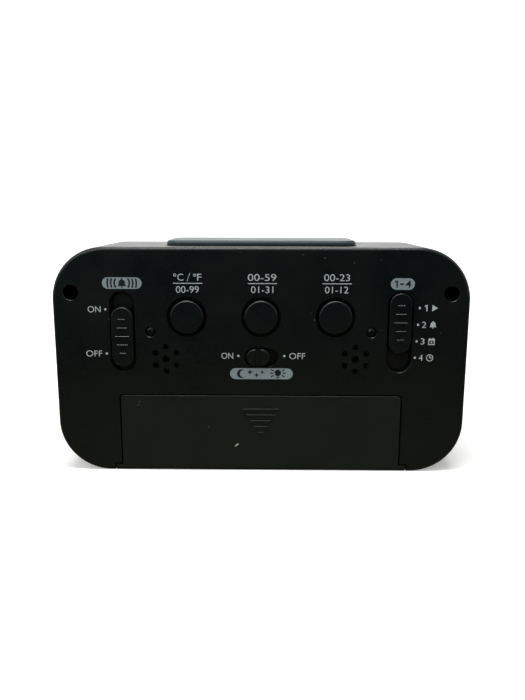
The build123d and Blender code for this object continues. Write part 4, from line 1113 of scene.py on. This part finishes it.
# %% Numbers and pictograms of the four settings
SET_ROWS = (
    # numeral, pictogram, middle height, dot across
    ("1", arrow, 61.92, 56.9),
    ("2", bell, 55.87, 56.6),
    ("3", page, 49.79, 56.35),
    ("4", clock_face, 43.73, 56.0),
)
NUMERAL_GAP, NUMERAL_WIDTH, ONE_INSET = 1.4, 1.45, 0.4
SIGN_GAP, SIGN = 2.5, 2.6
for digit, sign, middle, dot in SET_ROWS:
    left, right, low = dot + NUMERAL_GAP, dot + NUMERAL_GAP + NUMERAL_WIDTH, middle - CAP / 2
    shapes = [disc((dot, middle), DOT), *sign((right + SIGN_GAP, middle), SIGN)]
    if digit == "1":
        shapes.append(one(left + ONE_INSET, low, CAP))
        legend = print_shape("set_1_legend", shapes)
    else:
        number = print_words(f"set_{digit}_words", digit, left, right, low, low + CAP)
        legend = joined(f"set_{digit}_legend", [number, print_shape(f"set_{digit}_shapes", shapes)])
    finish_piece(legend, legend_ink)
print(len(SET_ROWS), "settings printed")

# %% Legends over the three keys
KEY_LINE = (70.36, 70.64)
KEY_UPPER = (71.45, 73.9)
KEY_LOWER = (67.1, 69.5)
KEY_LEGENDS = {
    # name: the line, lower words, and one or two upper words, each with its left and right
    "unit_key_legend": ((-31.4, -20.8), ("00-99", -30.3, -22.1), ("C", -29.7, -27.6), ("F", -22.65, -21.1)),
    "minute_key_legend": ((-4.6, 5.8), ("01-31", -3.5, 4.5), ("00-59", -4.6, 5.5)),
    "hour_key_legend": ((21.9, 32.4), ("01-12", 22.9, 31.2), ("00-23", 22.5, 31.7)),
}
DEGREE_RINGS, RING_RADII = ((-30.6, 73.4), (-23.55, 73.4)), (0.52, 0.3)
SLASH = [(-26.45, 71.1), (-26.25, 71.1), (-25.1, 74.15), (-25.3, 74.15)]
degrees = [disc(middle, radius) for middle in DEGREE_RINGS for radius in RING_RADII] + [SLASH]
for name, (line, lower, *upper) in KEY_LEGENDS.items():
    signs = degrees if name == "unit_key_legend" else []
    parts = [print_words(f"{name}_{row[0]}", *row, *KEY_UPPER) for row in upper]
    parts.append(print_shape(name + "_line", [pill(*line, *KEY_LINE), *signs]))
    parts.append(print_words(name + "_lower", *lower, *KEY_LOWER))
    finish_piece(joined(name, parts), legend_ink)
print(len(KEY_LEGENDS), "key legends printed")

# %% [markdown]
# ## Marks in the battery bay
# With the door off, a plus and a minus beside each end of each row say which way the cells go. They are
# printed on the rim of the bay, in the same grey ink.

# %% Plus and minus marks
RIM_Y_MM = 21.0
LONG, SHORT = 0.75, 0.21  # half the length and half the width of a stroke
LOW_ROW, HIGH_ROW = 9.45, 20.65
BAY_SIDE = 50.15
MINUS = both_ends([(-LONG, -SHORT), (LONG, -SHORT)])
PLUS = both_ends([
    (SHORT, LONG), (SHORT, SHORT), (LONG, SHORT), (LONG, -SHORT), (SHORT, -SHORT), (SHORT, -LONG)
])
MARKS = (
    # outline, across, up
    (MINUS, -BAY_SIDE, LOW_ROW),
    (PLUS, BAY_SIDE, LOW_ROW),
    (PLUS, -BAY_SIDE, HIGH_ROW),
    (MINUS, BAY_SIDE, HIGH_ROW),
)
marks = [placed(points, (across, up), 1) for points, across, up in MARKS]
finish_piece(print_shape("battery_bay_marks", marks, depth=RIM_Y_MM), legend_ink)
print(len(MARKS), "marks in the bay")

# %% [markdown]
# ## The display
# The lens has a black border screen-printed on its inner face, with a clear window in it. Behind it, the
# display's digits are made of seven straight segments with pointed ends. A segment is drawn once as an
# outline and placed seven times; the large digits give the time, the small ones the date and the
# temperature. They stand a few hundredths of a millimetre in front of the glass, as the dark crystal
# does under its polariser.

# %% Lens border
lens_low, lens_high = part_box("display_lens")
LENS_BACK_MM = lens_high.y / MM
LENS_HALF = (lens_high.x - lens_low.x) / 2 / MM
LENS_LOW, LENS_HIGH = lens_low.z / MM, lens_high.z / MM
LENS_CORNER, INSET, BORDER_DEPTH = 11.95, 0.05, 0.04
WINDOW_HALF, WINDOW_LOW, WINDOW_HIGH, WINDOW_CORNER = 55.0, 16.6, 66.7, 2.5
DISPLAY_INK_MM = 0.03


def round_box(half_width, low, high, radius):
    """A rectangle with rounded corners, centred across."""
    x, top, bottom = half_width - radius, high - radius, low + radius
    spots = ((x, top, 0), (-x, top, 90), (-x, bottom, 180), (x, bottom, 270))
    return [p for x, z, start in spots for p in arc((x, z), radius, start, start + 90, 10)]


edge = (LENS_HALF - INSET, LENS_LOW + INSET, LENS_HIGH - INSET, LENS_CORNER)
border = [round_box(*edge), round_box(WINDOW_HALF, WINDOW_LOW, WINDOW_HIGH, WINDOW_CORNER)]
border_print = print_shape(
    "lens_border_print", border, FACING_FRONT, LENS_BACK_MM - BORDER_DEPTH, DISPLAY_INK_MM
)
finish_piece(border_print, border_ink)
print("window", 2 * WINDOW_HALF, "mm wide")

# %% Segments of a digit
SEGMENTS = {"0": "abcdef", "1": "bc", "2": "abged", "5": "afgcd", "8": "abcdefg", "-": "g", "C": "adef"}
SEGMENT_GAP = 0.12


def segment(middle, length, thick, level):
    """One pointed bar, level or upright."""
    half, point = length / 2, thick / 2
    bar = both_ends([(-half, 0), (-half + point, point), (half - point, point)])
    return [(middle[0] + (x if level else z), middle[1] + (z if level else x)) for x, z in bar]


def digit_row(signs, left, middle, width, height, thick, pitch):
    """The lit segments of a row of signs that starts at the left."""
    across, up, gap = width - thick, (height - thick) / 2, SEGMENT_GAP * thick
    places = {
        # segment: steps across and up from the middle, length, whether it lies level
        "a": (0, up, across, True), "g": (0, 0, across, True), "d": (0, -up, across, True),
        "f": (-across / 2, up / 2, up, False), "b": (across / 2, up / 2, up, False),
        "e": (-across / 2, -up / 2, up, False), "c": (across / 2, -up / 2, up, False),
    }
    shapes = []
    for step, sign in enumerate(signs):
        centre = left + width / 2 + step * pitch
        for x, z, length, level in (places[key] for key in SEGMENTS[sign]):
            shapes.append(segment((centre + x, middle + z), length - 2 * gap, thick, level))
    return shapes


print(len(SEGMENTS), "signs")

# %% Digits
TIME_Z, SMALL_Z = 47.5, 24.0
BIG = {"width": 15.0, "height": 28.0, "thick": 2.9, "pitch": 19.0}
SMALL = {"width": 5.0, "height": 9.0, "thick": 1.0, "pitch": 6.8}
COLON_STEP, COLON_DOT = 6, 1.7
POINT, POINT_DOT = (28.2, SMALL_Z - 4.0), 0.6
DEGREE, DEGREE_RADII = (37.4, SMALL_Z + 3.6), (1.0, 0.5)
ALARM_SET, ALARM_SET_SIZE = (47.0, 61.0), 6.0
STAND_OFF = 0.03
time_shapes = digit_row("10", -41.0, TIME_Z, **BIG) + digit_row("08", 7.0, TIME_Z, **BIG)
time_shapes += [disc((0.0, TIME_Z + step), COLON_DOT) for step in (COLON_STEP, -COLON_STEP)]
small_shapes = digit_row("11-28", -46.0, SMALL_Z, **SMALL) + digit_row("22", 14.0, SMALL_Z, **SMALL)
small_shapes += [disc(POINT, POINT_DOT)] + digit_row("5", 30.0, SMALL_Z, **SMALL)
small_shapes += [disc(DEGREE, radius) for radius in DEGREE_RADII]
small_shapes += digit_row("C", 39.5, SMALL_Z, **SMALL) + bell(ALARM_SET, ALARM_SET_SIZE)
digits_y_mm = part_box("lcd_panel")[0].y / MM - STAND_OFF
for name, shapes in (("display_time_digits", time_shapes), ("display_small_digits", small_shapes)):
    digits = print_shape(name, shapes, FACING_FRONT, digits_y_mm, DISPLAY_INK_MM)
    finish_piece(digits, digit_ink)
print("pieces made:", len(pieces_made), pieces_made)

# %% [markdown]
# ## The snooze springs
# The two coil springs stand on the case, and the snooze bar rests on their tops. The imported model holds
# them as steel that keeps its length, so a pressed bar would sink into them. Here each spring only gets a
# mesh of its own, and nothing squashes it.

# %% Give the snooze springs their own meshes
for side in ("left", "right"):
    low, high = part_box(f"snooze_spring_{side}")
    spring = frame["nodes"][f"snooze_spring_{side}"]
    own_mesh(spring)

# %% [markdown]
# ## Size
# The box round every shown object, without the floor and the flags, is measured here.

# %% Sizes
low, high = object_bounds()
